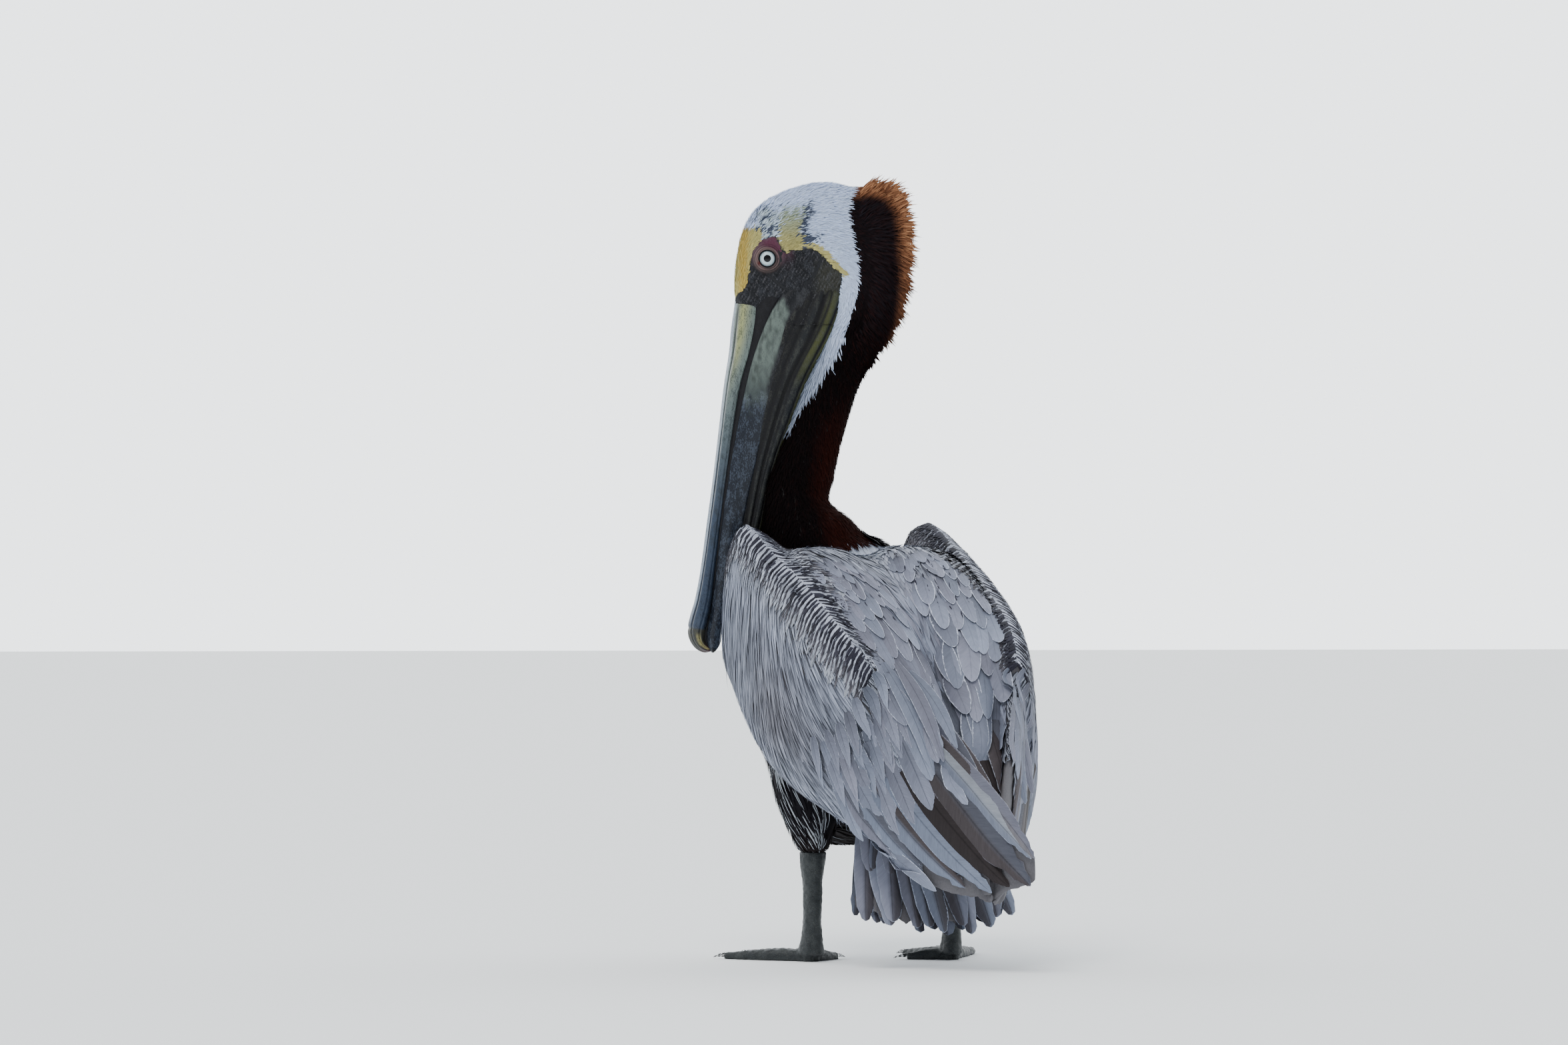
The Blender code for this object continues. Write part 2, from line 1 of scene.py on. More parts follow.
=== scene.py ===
"""The looks of a life-size brown pelican that stands with its wings folded and its head turned to its left.

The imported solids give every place. A skin is drawn over the nodes of flesh, a little inside them, and the
plumage is laid on it feather by feather. Lengths are in millimetres of the bird's own frame: the body faces
-Y, its left is +X, and heights count from the floor. The head has a frame of its own: "aft" runs from the
face to the nape, "side" towards the head's left, and both lie in a plane turned by HEAD_TURN.
"""

import math

import bmesh
import bpy
import numpy as np
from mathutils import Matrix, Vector
from mathutils.bvhtree import BVHTree
from mathutils.kdtree import KDTree

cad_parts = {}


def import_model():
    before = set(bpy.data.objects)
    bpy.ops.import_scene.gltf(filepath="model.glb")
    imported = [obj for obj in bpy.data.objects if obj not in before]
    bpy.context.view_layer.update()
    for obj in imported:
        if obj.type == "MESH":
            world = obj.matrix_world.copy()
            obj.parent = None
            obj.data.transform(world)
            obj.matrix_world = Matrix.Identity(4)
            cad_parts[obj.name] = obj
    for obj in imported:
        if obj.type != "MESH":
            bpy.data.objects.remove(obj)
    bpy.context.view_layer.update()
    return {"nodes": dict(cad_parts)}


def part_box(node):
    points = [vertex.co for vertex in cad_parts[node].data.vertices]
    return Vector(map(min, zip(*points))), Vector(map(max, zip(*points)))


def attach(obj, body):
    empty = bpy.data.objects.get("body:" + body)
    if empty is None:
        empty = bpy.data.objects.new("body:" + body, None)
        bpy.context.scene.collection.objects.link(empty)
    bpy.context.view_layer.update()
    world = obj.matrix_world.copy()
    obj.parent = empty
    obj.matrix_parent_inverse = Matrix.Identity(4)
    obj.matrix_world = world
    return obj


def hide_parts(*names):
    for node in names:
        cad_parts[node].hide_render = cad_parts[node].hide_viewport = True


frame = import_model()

MM = 0.001
SIDE_NAMES = {1: "left", -1: "right"}
HEAD_TURN = math.radians(65)
HEAD_PLANE = -68
EYE = {"aft": -88.7, "side": 22, "height": 628.7}
EYE_DROP = 2.1
AFT = np.array([-math.sin(HEAD_TURN), math.cos(HEAD_TURN), 0.0])
SIDE = np.array([math.cos(HEAD_TURN), math.sin(HEAD_TURN), 0.0])
UP = np.array([0.0, 0.0, 1.0])
BACK = np.array([0.0, 1.0, 0.0])
LEFT = np.array([1.0, 0.0, 0.0])


def middle(node):
    """The middle of a solid's box, in metres of the row's frame."""
    low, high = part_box(node)
    return (np.array(low) + np.array(high)) / 2


ORIGIN = middle("eye_left") - MM * (AFT * EYE["aft"] + SIDE * (HEAD_PLANE + EYE["side"]) + UP * EYE["height"])

EYE["height"] -= EYE_DROP  # the opening between the lids is a little lower than the middle of the eye's solid

# ---------------------------------------------------------------- small tools


def world(points):
    """Places of the bird's frame, in millimetres, as metres of the row's frame."""
    return ORIGIN + MM * np.asarray(points, float)


def body(points):
    """The other way: metres of the row's frame as millimetres of the bird's."""
    return (np.asarray(points) - ORIGIN) / MM


def in_head(aft, side, height):
    """Places of the head's frame, in millimetres, as metres of the row's frame."""
    aft, side, height = np.broadcast_arrays(*(np.asarray(v, float) for v in (aft, side, height)))
    place = aft[..., None] * AFT + (HEAD_PLANE + side)[..., None] * SIDE + height[..., None] * UP
    return ORIGIN + MM * place


def to_head(points):
    """The head's aft, side and height of points in metres of the row's frame."""
    q = body(points)
    return q @ AFT, q @ SIDE - HEAD_PLANE, q[..., 2]


def painted(colour, count):
    """One colour, once for each of several places."""
    return np.tile(np.array(colour), (count, 1))


def unit(v):
    """Vectors made one long."""
    return v / np.maximum(np.linalg.norm(v, axis=-1, keepdims=True), 1e-9)


def tangent(v, normal):
    """The direction of v as it runs along a surface."""
    return unit(v - normal * (v * normal).sum(-1, keepdims=True))


def smooth(x, low, high):
    """0 at low and beyond it, 1 at high and beyond it, and smooth between. Either may be the greater."""
    t = np.clip((x - low) / (high - low), 0, 1)
    return t * t * (3 - 2 * t)


def lerp(a, b, t):
    """a where t is 0, b where it is 1, and in proportion between."""
    return np.asarray(a) * (1 - t) + np.asarray(b) * t


def mixed(colour, other, share):
    """Colours mixed with another one, by a share for each place."""
    return lerp(colour, other, np.asarray(share)[..., None])


def dimmed(colour, share):
    """Colours made darker by a share for each place."""
    return colour * (1 - np.asarray(share))[..., None]


def bell(x, centre, width):
    """1 at the centre, falling off smoothly on both sides of it."""
    return np.exp(-(((x - centre) / width) ** 2))


def curve(knots, shares):
    """Points of a smooth curve through rows of numbers, at shares of its run."""
    knots = np.asarray(knots, float)
    place = np.clip(np.asarray(shares, float), 0, 1) * (len(knots) - 1)
    i = np.minimum(place.astype(int), len(knots) - 2)
    t = (place - i)[..., None]
    a, b = knots[np.maximum(i - 1, 0)], knots[i]
    c, d = knots[i + 1], knots[np.minimum(i + 2, len(knots) - 1)]
    return 0.5 * ((2 * b) + (c - a) * t + (2 * a - 5 * b + 4 * c - d) * t**2 + (3 * b - a - 3 * c + d) * t**3)


def new_object(name, data):
    """A new object in the scene that shows some data."""
    made = bpy.data.objects.new(name, data)
    bpy.context.scene.collection.objects.link(made)
    return made


def mesh_object(name, points, faces):
    """A mesh object from arrays: points in metres, and faces that all have equally many corners."""
    faces = np.asarray(faces)
    data = bpy.data.meshes.new(name)
    data.vertices.add(len(points))
    data.vertices.foreach_set("co", np.ascontiguousarray(points, np.float32).ravel())
    data.loops.add(faces.size)
    data.loops.foreach_set("vertex_index", faces.astype(np.int32).ravel())
    data.polygons.add(len(faces))
    data.polygons.foreach_set("loop_start", np.arange(0, faces.size, faces.shape[1], dtype=np.int32))
    data.polygons.foreach_set("use_smooth", np.full(len(faces), True))
    data.update(calc_edges=True)
    return new_object(name, data)


def joined(name, nodes, swell=0.0, weld=False):
    """One object from several solids' meshes, each swollen a little so that they run into each other."""
    bm = bmesh.new()
    for node in nodes:
        bm.from_mesh(frame["nodes"][node].data)
    if weld:
        bmesh.ops.remove_doubles(bm, verts=bm.verts, dist=1e-6)
        bm.normal_update()
    for v in bm.verts:
        v.co += v.normal * swell
    data = bpy.data.meshes.new(name)
    bm.to_mesh(data)
    bm.free()
    return new_object(name, data)


def grid_faces(rows, columns, closed=False):
    """Quads over a grid of points, row by row. A closed grid joins its last column to its first."""
    r, c = np.meshgrid(np.arange(rows - 1), np.arange(columns if closed else columns - 1), indexing="ij")
    after = (c + 1) % columns
    corners = [r * columns + c, r * columns + after, (r + 1) * columns + after, (r + 1) * columns + c]
    return np.stack(corners, -1).reshape(-1, 4)


def arrays_of(data):
    """A mesh's points and its normals at them."""
    points = np.empty(len(data.vertices) * 3, np.float32)
    data.vertices.foreach_get("co", points)
    normals = np.empty(len(data.vertices) * 3, np.float32)
    data.vertex_normals.foreach_get("vector", normals)
    return points.reshape(-1, 3).astype(float), normals.reshape(-1, 3).astype(float)


def put_points(data, points):
    """Moves a mesh's points to new places."""
    data.vertices.foreach_set("co", points.astype(np.float32).ravel())


def put_colours(data, name, values):
    """Stores one colour per point, which a material reads by the attribute's name."""
    values = np.asarray(values, float)
    if values.shape[1] == 3:
        values = np.concatenate([values, np.ones((len(values), 1))], 1)
    layer = data.attributes.new(name, "FLOAT_COLOR", "POINT")
    layer.data.foreach_set("color", np.ascontiguousarray(values, np.float32).ravel())


def put_uv(data, name, per_point):
    """Stores a UV map from one pair per point."""
    corners = np.empty(len(data.loops), np.int32)
    data.loops.foreach_get("vertex_index", corners)
    layer = data.uv_layers.new(name=name)
    layer.data.foreach_set("uv", np.ascontiguousarray(per_point[corners], np.float32).ravel())


def modified(obj, kind, **settings):
    """Runs one modifier on an object and keeps the result as its mesh."""
    step = obj.modifiers.new(kind.lower(), kind)
    for key, value in settings.items():
        setattr(step, key, value)
    shown = obj.evaluated_get(bpy.context.evaluated_depsgraph_get())
    data = bpy.data.meshes.new_from_object(shown)
    obj.modifiers.clear()
    obj.data = data


def dress(made, material):
    """Gives an object smooth shading and its one material."""
    made.data.shade_smooth()
    made.data.materials.clear()
    made.data.materials.append(material)


def wavy(points, size, seed):
    """A cheap smooth noise between -1 and 1, from a few crossed waves of about the given size."""
    rng = np.random.default_rng(seed)
    total = np.zeros(len(points))
    for _ in range(6):
        way = rng.normal(size=3)
        way *= 2 * math.pi / size / np.linalg.norm(way) * rng.uniform(0.7, 1.5)
        total += np.sin(points @ way + rng.uniform(0, 6.28))
    return total / 3.2


# ---------------------------------------------------------------- materials


class Nodes:
    """A material's node tree, built by short calls. A method's arguments are numbers, colours or sockets."""

    def __init__(self, name, roughness=0.6, **sockets):
        self.material = bpy.data.materials.new(name)
        self.material.use_nodes = True
        self.tree = self.material.node_tree
        self.shader = self.tree.nodes["Principled BSDF"]
        self.shader.inputs["Roughness"].default_value = roughness
        for key, value in sockets.items():
            self.shader.inputs[key.replace("_", " ")].default_value = value

    def put(self, target, value):
        if isinstance(value, bpy.types.NodeSocket):
            self.tree.links.new(value, target)
        elif value is not None:
            target.default_value = value

    def node(self, kind, **settings):
        made = self.tree.nodes.new(kind)
        for key, value in settings.items():
            setattr(made, key, value)
        return made

    def math(self, kind, a, b=None):
        made = self.node("ShaderNodeMath", operation=kind)
        for socket, value in zip(made.inputs, (a, b)):
            self.put(socket, value)
        return made.outputs[0]

    def times(self, a, b):
        return self.math("MULTIPLY", a, b)

    def plus(self, a, b):
        return self.math("ADD", a, b)

    def less(self, a, b):
        return self.math("SUBTRACT", a, b)

    def attribute(self, name):
        """The colour that each point of the mesh carries under a name."""
        return self.node("ShaderNodeAttribute", attribute_name=name).outputs["Color"]

    def look(self):
        """The three numbers that each point of the mesh carries."""
        made = self.node("ShaderNodeSeparateColor")
        self.put(made.inputs[0], self.attribute("look"))
        return made.outputs

    def darkened(self, colour, shade):
        """A colour times a number."""
        return self.mix(1.0, colour, self.combine(shade, shade, shade), "MULTIPLY")

    def mix(self, factor, a, b, blend="MIX"):
        made = self.node("ShaderNodeMix", data_type="RGBA", blend_type=blend)
        self.put(made.inputs[0], factor)
        self.put(made.inputs[6], a)
        self.put(made.inputs[7], b)
        return made.outputs[2]

    def step(self, value, low, high):
        """0 where the value is below low, 1 above high, and smooth between. High may be the lesser."""
        made = self.node("ShaderNodeMapRange", interpolation_type="SMOOTHSTEP")
        self.put(made.inputs["Value"], value)
        self.put(made.inputs["From Min"], low)
        self.put(made.inputs["From Max"], high)
        return made.outputs[0]

    def noise(self, vector, scale, detail=3.0, roughness=0.55):
        made = self.node("ShaderNodeTexNoise")
        self.put(made.inputs["Vector"], vector)
        made.inputs["Scale"].default_value = scale
        made.inputs["Detail"].default_value = detail
        made.inputs["Roughness"].default_value = roughness
        return made.outputs[0]

    def cell_edges(self, vector, scale):
        """How far a place is from the seams between irregular cells."""
        made = self.node("ShaderNodeTexVoronoi", feature="DISTANCE_TO_EDGE")
        self.put(made.inputs["Vector"], vector)
        made.inputs["Scale"].default_value = scale
        return made.outputs["Distance"]

    def place(self):
        return self.node("ShaderNodeTexCoord").outputs["Object"]

    def stretched(self, vector, x, y, z):
        made = self.node("ShaderNodeMapping", vector_type="POINT")
        self.put(made.inputs["Vector"], vector)
        made.inputs["Scale"].default_value = (x, y, z)
        return made.outputs[0]

    def combine(self, x, y, z):
        made = self.node("ShaderNodeCombineXYZ")
        for socket, value in zip(made.inputs, (x, y, z)):
            self.put(socket, value)
        return made.outputs[0]

    def bump(self, height, strength, distance):
        made = self.node("ShaderNodeBump")
        made.inputs["Strength"].default_value = strength
        made.inputs["Distance"].default_value = distance
        self.put(made.inputs["Height"], height)
        self.tree.links.new(made.outputs[0], self.shader.inputs["Normal"])

    def colour(self, value):
        self.put(self.shader.inputs["Base Color"], value)

    def rough(self, value):
        self.put(self.shader.inputs["Roughness"], value)


PLUMAGES = {  # roughness, contrast of the barbs, darkness of the shaft, gloss
    "head_plumage": (0.85, 0.25, 0.0, 0.03),
    "mane_plumage": (0.85, 0.3, 0.0, 0.03),
    "comb_plumage": (0.65, 0.15, 0.0, 0.15),
    "covert_plumage": (0.65, 0.16, 0.06, 0.15),
    "filament_plumage": (0.7, 0.1, 0.0, 0.15),
    "shoulder_plumage": (0.65, 0.22, 0.16, 0.15),
    "shoulder_mark": (0.7, 0.1, 0.0, 0.15),
    "mantle_plumage": (0.6, 0.24, 0.12, 0.15),
    "belly_plumage": (0.7, 0.3, 0.0, 0.05),
    "thigh_plumage": (0.8, 0.2, 0.0, 0.15),
    "quill_plumage": (0.6, 0.38, 0.35, 0.15),
    "tertial_plumage": (0.6, 0.24, 0.3, 0.15),
    "tail_plumage": (0.55, 0.22, 0.3, 0.15),
}


def feather_material(name):
    """Vanes with a shaft, slanting barbs and a rim. The points' own colours give the tint and the rim."""
    roughness, barbs, shaft, gloss = PLUMAGES[name]
    m = Nodes(name, roughness, Specular_IOR_Level=gloss)
    tint, rim = m.attribute("tint"), m.attribute("rim")
    rim_width, streak, seed = m.look()
    vane = m.node("ShaderNodeSeparateXYZ")
    m.put(vane.inputs[0], m.node("ShaderNodeUVMap", uv_map="vane").outputs[0])
    across = m.math("ABSOLUTE", vane.outputs[0])
    along = vane.outputs[1]
    edge = m.math("MAXIMUM", across, m.less(1.0, along))
    ragged = m.noise(m.combine(across, m.times(along, 2.0), m.times(seed, 40.0)), 2.2)
    edge = m.plus(edge, m.times(m.less(ragged, 0.5), 0.35))
    start = m.less(1.0, rim_width)
    rimmed = m.step(edge, start, m.plus(start, 0.12))
    slant = m.plus(along, m.times(across, 0.9))
    barb = m.noise(m.combine(m.times(slant, 9.0), across, m.times(seed, 60.0)), 1.0, 4.0, 0.7)
    fleck = m.noise(m.combine(m.times(slant, 1.3), across, m.times(seed, 25.0)), 1.0, 2.0)
    quill = m.step(across, 0.09, 0.02)
    shade = m.plus(m.times(m.less(barb, 0.5), barbs * 2), 1.0)
    shade = m.plus(shade, m.times(m.less(fleck, 0.5), streak))
    shade = m.less(shade, m.times(quill, shaft))
    m.colour(m.darkened(m.mix(rimmed, tint, rim), shade))
    m.bump(m.plus(m.times(barb, 0.6), m.times(quill, 0.8)), 0.35, 0.0006)
    return m.material


# ---------------------------------------------------------------- the skin

# How thick the coat is over each node of flesh, in millimetres.
COAT_DEPTH = {
    "head": 0.6, "mane": 8, "neck_upper": 1.4, "neck_middle": 1.2, "neck_lower": 1.4, "trunk": 6,
    "scapulars_left": 5, "scapulars_right": 3.5, "wing_left": 5, "wing_right": 1.5,
    "flight_left": 1.6, "flight_right": 1.6, "tail": 1.2, "thigh_left": 4, "thigh_right": 4,
}
FLESH = list(COAT_DEPTH)
HEAD_AND_NECK = ("head", "mane", "neck_upper", "neck_middle", "neck_lower")
WINGS = ("wing_left", "wing_right")
THIGHS = ("thigh_left", "thigh_right")
# Metres: the size of the skin's mesh, and how far the solids are swollen first so that they join.
SKIN_VOXEL = 0.0031
SKIN_SWELL = 0.0006
# Millimetres: the hollow behind the foot of the neck, and where the right wing's tip ends under the left one's.
HOLLOW = 11
RIGHT_TIP = 226


def solid_arrays(names):
    """The points and faces of several solids together, and which solid each face comes from."""
    points, faces, owner = [], [], []
    count = 0
    for k, name in enumerate(names):
        data = frame["nodes"][name].data
        points += [v.co.copy() for v in data.vertices]
        faces += [[count + i for i in f.vertices] for f in data.polygons]
        owner += [k] * len(data.polygons)
        count += len(data.vertices)
    return points, faces, np.array(owner)


def solid_tree(*names):
    """The surface of several solids, for rays and nearest places."""
    points, faces, _ = solid_arrays(names)
    return BVHTree.FromPolygons(points, faces)


def nearest(tree, points):
    """The nearest place on a surface to each point, and the face it is on."""
    found = [tree.find_nearest(p) for p in points.tolist()]
    return np.array([f[0][:] for f in found]), np.array([f[2] for f in found])


solid_points, solid_faces, solid_owner = solid_arrays(FLESH)
SOLIDS = BVHTree.FromPolygons(solid_points, solid_faces)


def owners(points):
    """Which of FLESH each point is nearest to."""
    return solid_owner[nearest(SOLIDS, points)[1]]


def part_of(owner, *names):
    """Which of the owners are among the named nodes."""
    return np.isin(owner, [FLESH.index(n) for n in names])


def make_skin():
    """One surface round all the nodes of flesh, drawn in by the depth of the coat that covers it."""
    made = joined("skin", FLESH, SKIN_SWELL, weld=True)
    modified(made, "REMESH", mode="VOXEL", voxel_size=SKIN_VOXEL)
    keep_largest(made.data)
    modified(made, "SMOOTH", factor=0.5, iterations=10)
    points, normals = arrays_of(made.data)
    depth = np.array([COAT_DEPTH[n] for n in FLESH], float)[owners(points)]
    depth = spread(made.data, depth, 12)
    put_points(made.data, fitted(points - normals * depth[:, None] * MM))
    modified(made, "SMOOTH", factor=0.5, iterations=3)
    return made


def fitted(points):
    """Draws in the hollow behind the foot of the neck, and the right wing's tip under the left one's.

    It also lifts the trunk's underside clear of the legs, and the left wing's tip clear of the tail.
    """
    aft, _, height = to_head(points)
    hollow = smooth(height, 363, 377) * smooth(height, 432, 398) * smooth(aft, -70, -45) * smooth(aft, 34, 12)
    points = points - AFT * (HOLLOW * hollow * MM)[:, None]
    q = body(points)
    owner = owners(points)
    right_tip = part_of(owner, "flight_right") & (q[:, 1] > RIGHT_TIP)
    q[right_tip, 1] = RIGHT_TIP + (q[right_tip, 1] - RIGHT_TIP) * 0.12
    q[:, 2] += 7 * part_of(owner, "trunk") * smooth(q[:, 2], 128, 104) * smooth(q[:, 1], 20, 50)
    left_tip = part_of(owner, "flight_left") & (q[:, 1] > 200)
    q[left_tip, 2] += 9 * smooth(q[left_tip, 1], 200, 250) * smooth(q[left_tip, 2], 105, 62)
    return world(q)


def keep_largest(data):
    """Removes every loose scrap that the remesh left inside."""
    bm = bmesh.new()
    bm.from_mesh(data)
    seen, islands = set(), []
    for start in bm.verts:
        if start in seen:
            continue
        seen.add(start)
        island, stack = [], [start]
        while stack:
            v = stack.pop()
            island.append(v)
            for e in v.link_edges:
                o = e.other_vert(v)
                if o not in seen:
                    seen.add(o)
                    stack.append(o)
        islands.append(island)
    islands.sort(key=len)
    bmesh.ops.delete(bm, geom=[v for island in islands[:-1] for v in island], context="VERTS")
    bm.to_mesh(data)
    bm.free()


def spread(data, values, rounds):
    """Averages one value per point with its neighbours', several times over."""
    edges = np.empty(len(data.edges) * 2, np.int32)
    data.edges.foreach_get("vertices", edges)
    edges = edges.reshape(-1, 2)
    count = np.bincount(edges.ravel(), minlength=len(values)).astype(float)
    for _ in range(rounds):
        total = np.bincount(edges[:, 0], values[edges[:, 1]], len(values))
        total += np.bincount(edges[:, 1], values[edges[:, 0]], len(values))
        values = 0.4 * values + 0.6 * total / np.maximum(count, 1)
    return values


skin = make_skin()
skin_points, skin_normals = arrays_of(skin.data)
skin_faces = [list(f.vertices) for f in skin.data.polygons]
SKIN = BVHTree.FromPolygons(skin_points.tolist(), skin_faces)
SKIN_QUADS = np.array(skin_faces)
FACE_NORMAL = unit(skin_normals[SKIN_QUADS].sum(1))
FACE_MIDDLE = skin_points[SKIN_QUADS].mean(1)
FACE_AREA = np.array([f.area for f in skin.data.polygons])
FACE_OWNER = owners(FACE_MIDDLE)


def unwrap(points):
    """The skin unrolled for the bake: neck and head above, and the body below, each round its own axis."""
    q = body(points)
    turn = np.where(q[:, 2] > 470, np.arctan2(q @ SIDE - HEAD_PLANE, q @ AFT + 40), np.arctan2(q[:, 0], q[:, 1] - 10))
    flat = (turn / (2 * math.pi) + 0.5) * 0.96 + 0.02
    return np.stack([flat, 0.02 + 0.96 * np.clip(q[:, 2] / 712, 0, 1)], 1)


# ---------------------------------------------------------------- feathers

SHAPES = {  # how wide a vane is along its run: start, share at its widest, bluntness of the tip
    "round": (0.45, 0.45, 2.6),
    "oval": (0.4, 0.4, 1.8),
    "lance": (0.5, 0.3, 1.15),
    "spike": (0.7, 0.12, 0.9),
    "blade": (0.6, 0.55, 1.7),
}


def vane_width(shape, s):
    """A vane's width at shares of its run, as a share of its greatest."""
    start, widest, blunt = SHAPES[shape]
    rise = start + (1 - start) * np.sin(math.pi / 2 * np.clip(s / widest, 0, 1))
    fall = 1 - np.clip((s - widest) / (1 - widest), 0, 1) ** (blunt + 0.6)
    return rise * fall ** (1 / blunt) + 0.05


def scatter(rng, faces, spacing, lie=None, stretch=1.0):
    """Places on the chosen faces of the skin, evenly spaced, with each one's face.

    Along the direction lie the places are further apart, stretch times as far as across it.
    """
    faces = np.flatnonzero(faces)
    spacing = np.broadcast_to(spacing, len(FACE_AREA))[faces]
    share = FACE_AREA[faces] / (spacing * MM) ** 2 * 4 / stretch
    times = np.floor(share + rng.random(len(faces))).astype(int)
    chosen = np.repeat(faces, times)
    gap = np.repeat(spacing, times)
    corners = skin_points[SKIN_QUADS[chosen]]
    a, b = rng.random((2, len(chosen), 1))
    front, rear = lerp(corners[:, 0], corners[:, 1], a), lerp(corners[:, 3], corners[:, 2], a)
    points = lerp(front, rear, b)
    squeezed = points
    if lie is not None:
        lie = unit(np.asarray(lie, float))
        squeezed = points - np.outer(points @ lie, lie) * (1 - 1 / stretch)
    tree = KDTree(len(points))
    for i, place in enumerate(squeezed.tolist()):
        tree.insert(place, i)
    tree.balance()
    free = np.ones(len(points), bool)
    kept = []
    for i in rng.permutation(len(points)).tolist():
        if free[i]:
            kept.append(i)
            free[[near[1] for near in tree.find_range(squeezed[i], gap[i] * MM * 0.85)]] = False
    return points[kept], chosen[kept]


def follow(points, faces, flow, lengths, steps, rng, wander=0.12):
    """Walks each feather's line over the skin, the way the coat lies."""
    normal = FACE_NORMAL[faces]
    bend = rng.normal(0, wander, (len(points), 1))
    path, normals = [points], [normal]
    for _ in range(steps):
        way = tangent(flow(points, normal), normal)
        way = unit(way + np.cross(normal, way) * bend)
        points, face = nearest(SKIN, points + way * (lengths[:, None] * MM / steps))
        normal = unit(normal * 0.4 + FACE_NORMAL[face] * 0.6)
        path.append(points)
        normals.append(normal)
    return np.stack(path, 1), np.stack(normals, 1)


def lay(name, path, normals, lengths, widths, shape, tint, rim, look, material, columns=2, rise=(0.2, 2.5),
        camber=0.12, roll=0.15, frayed=0.0, shares=None):
    """One mesh of many vanes. Each follows its path, rises from the skin to its tip, and is arched across.

    The tint has one colour per feather, or one per feather and row, or one per point. look is the rim's width
    as a share of the vane, how streaked it is, and a number of its own.
    """
    count, rows = path.shape[0], path.shape[1]
    s = np.linspace(0, 1, rows) if shares is None else shares
    t = np.linspace(-1, 1, columns + 1)
    seeds = look[:, 2]
    run = unit(np.gradient(path, axis=1))
    across = unit(np.cross(normals, run))
    half = (np.broadcast_to(widths, count)[:, None] / 2) * vane_width(shape, s)[None, :] * MM
    low, high = np.broadcast_to(rise[0], count)[:, None], np.broadcast_to(rise[1], count)[:, None]
    up = (low * (1 - s) + high * s**1.3) * MM
    tilt = np.broadcast_to(roll, count) if np.ndim(roll) else (seeds - 0.5) * 2 * roll
    reach = half[:, :, None] * t
    if frayed:
        rng = np.random.default_rng(count)
        torn = rng.random((count, rows, columns + 1)) * smooth(s, 0.55, 1)[None, :, None] * np.abs(t)
        reach = reach * (1 - frayed * torn)
    lift = up[:, :, None] + (camber * half)[:, :, None] * (1 - t**2) + half[:, :, None] * t * tilt[:, None, None]
    points = path[:, :, None, :] + across[:, :, None, :] * reach[..., None] + normals[:, :, None, :] * lift[..., None]
    per = rows * (columns + 1)
    faces = (np.arange(count)[:, None, None] * per + grid_faces(rows, columns + 1)).reshape(-1, 4)
    made = mesh_object(name, points.reshape(-1, 3), faces)
    aspect = np.maximum(lengths / np.maximum(np.broadcast_to(widths, count) / 2, 0.1), 1)
    vane = np.zeros((count, rows, columns + 1, 2))
    vane[..., 0] = t
    vane[..., 1] = ((1 - s)[None, :] * aspect[:, None])[:, :, None]
    patch = np.zeros((count, rows, columns + 1, 2))
    patch[:] = unwrap(path[:, 0])[:, None, None, :]
    patch[..., 0] += t * 0.0015
    patch[..., 1] += (s[:, None] - 0.5) * 0.003
    put_uv(made.data, "OFBake", patch.reshape(-1, 2))
    put_uv(made.data, "vane", vane.reshape(-1, 2))
    for key, values in (("tint", tint), ("rim", rim), ("look", look)):
        put_colours(made.data, key, per_point(values, count, rows, columns))
    made.data.materials.append(material)
    COAT.append(made)


TIP_ROWS = np.array([0, 0.16, 0.33, 0.5, 0.65, 0.77, 0.86, 0.93, 0.975, 1])


def resampled(path, normals, shares):
    """The same lines with their points at other shares of the run."""
    place = shares * (path.shape[1] - 1)
    i = np.minimum(place.astype(int), path.shape[1] - 2)
    t = (place - i)[None, :, None]
    return lerp(path[:, i], path[:, i + 1], t), unit(lerp(normals[:, i], normals[:, i + 1], t))


def per_point(values, count, rows, columns):
    """Spreads one colour per feather, or one per feather and row, over all its points."""
    values = np.asarray(values, float)
    if values.ndim == 2:
        values = values[:, None, :]
    if values.ndim == 3:
        values = values[:, :, None, :]
    return np.broadcast_to(values, (count, rows, columns + 1, values.shape[-1])).reshape(-1, values.shape[-1])


def run_lengths(path):
    """How long each feather's line is, in millimetres."""
    return np.linalg.norm(np.diff(path, axis=1), axis=2).sum(1) / MM


def looks(rng, count, rim_width, streak):
    """The three numbers that each feather's material reads: its rim's width, how streaked it is, and a seed."""
    return np.stack([np.broadcast_to(rim_width, count), np.broadcast_to(streak, count), rng.random(count)], 1)


COAT = []

# ---------------------------------------------------------------- markings of the head and neck

# The edge of the bare face, from the forehead back over the eye to the gape, and the edge of the pouch down
# from there; then the line where the white of the head meets the dark nape.
FACE_EDGE = ([-119, -108.5, -104, -97, -81, -75, -72, -65, -49, -41, -27, -20.8],
             [592, 603, 630, 644, 649, 636, 632.6, 635.5, 637, 632.6, 618, 614])
POUCH_EDGE = ([440, 459, 502, 523, 545, 567, 586, 603, 614], [-82, -74, -64.7, -53, -41, -31, -25, -21, -20.8])
NAPE_EDGE = ([467, 484, 501, 522, 548, 569, 586, 603, 620, 646, 668, 684, 700],
             [-70.5, -63.0, -53.0, -38.5, -23.5, -16, -10.5, -8, -8.5, -14.5, -18.5, -15, -9])

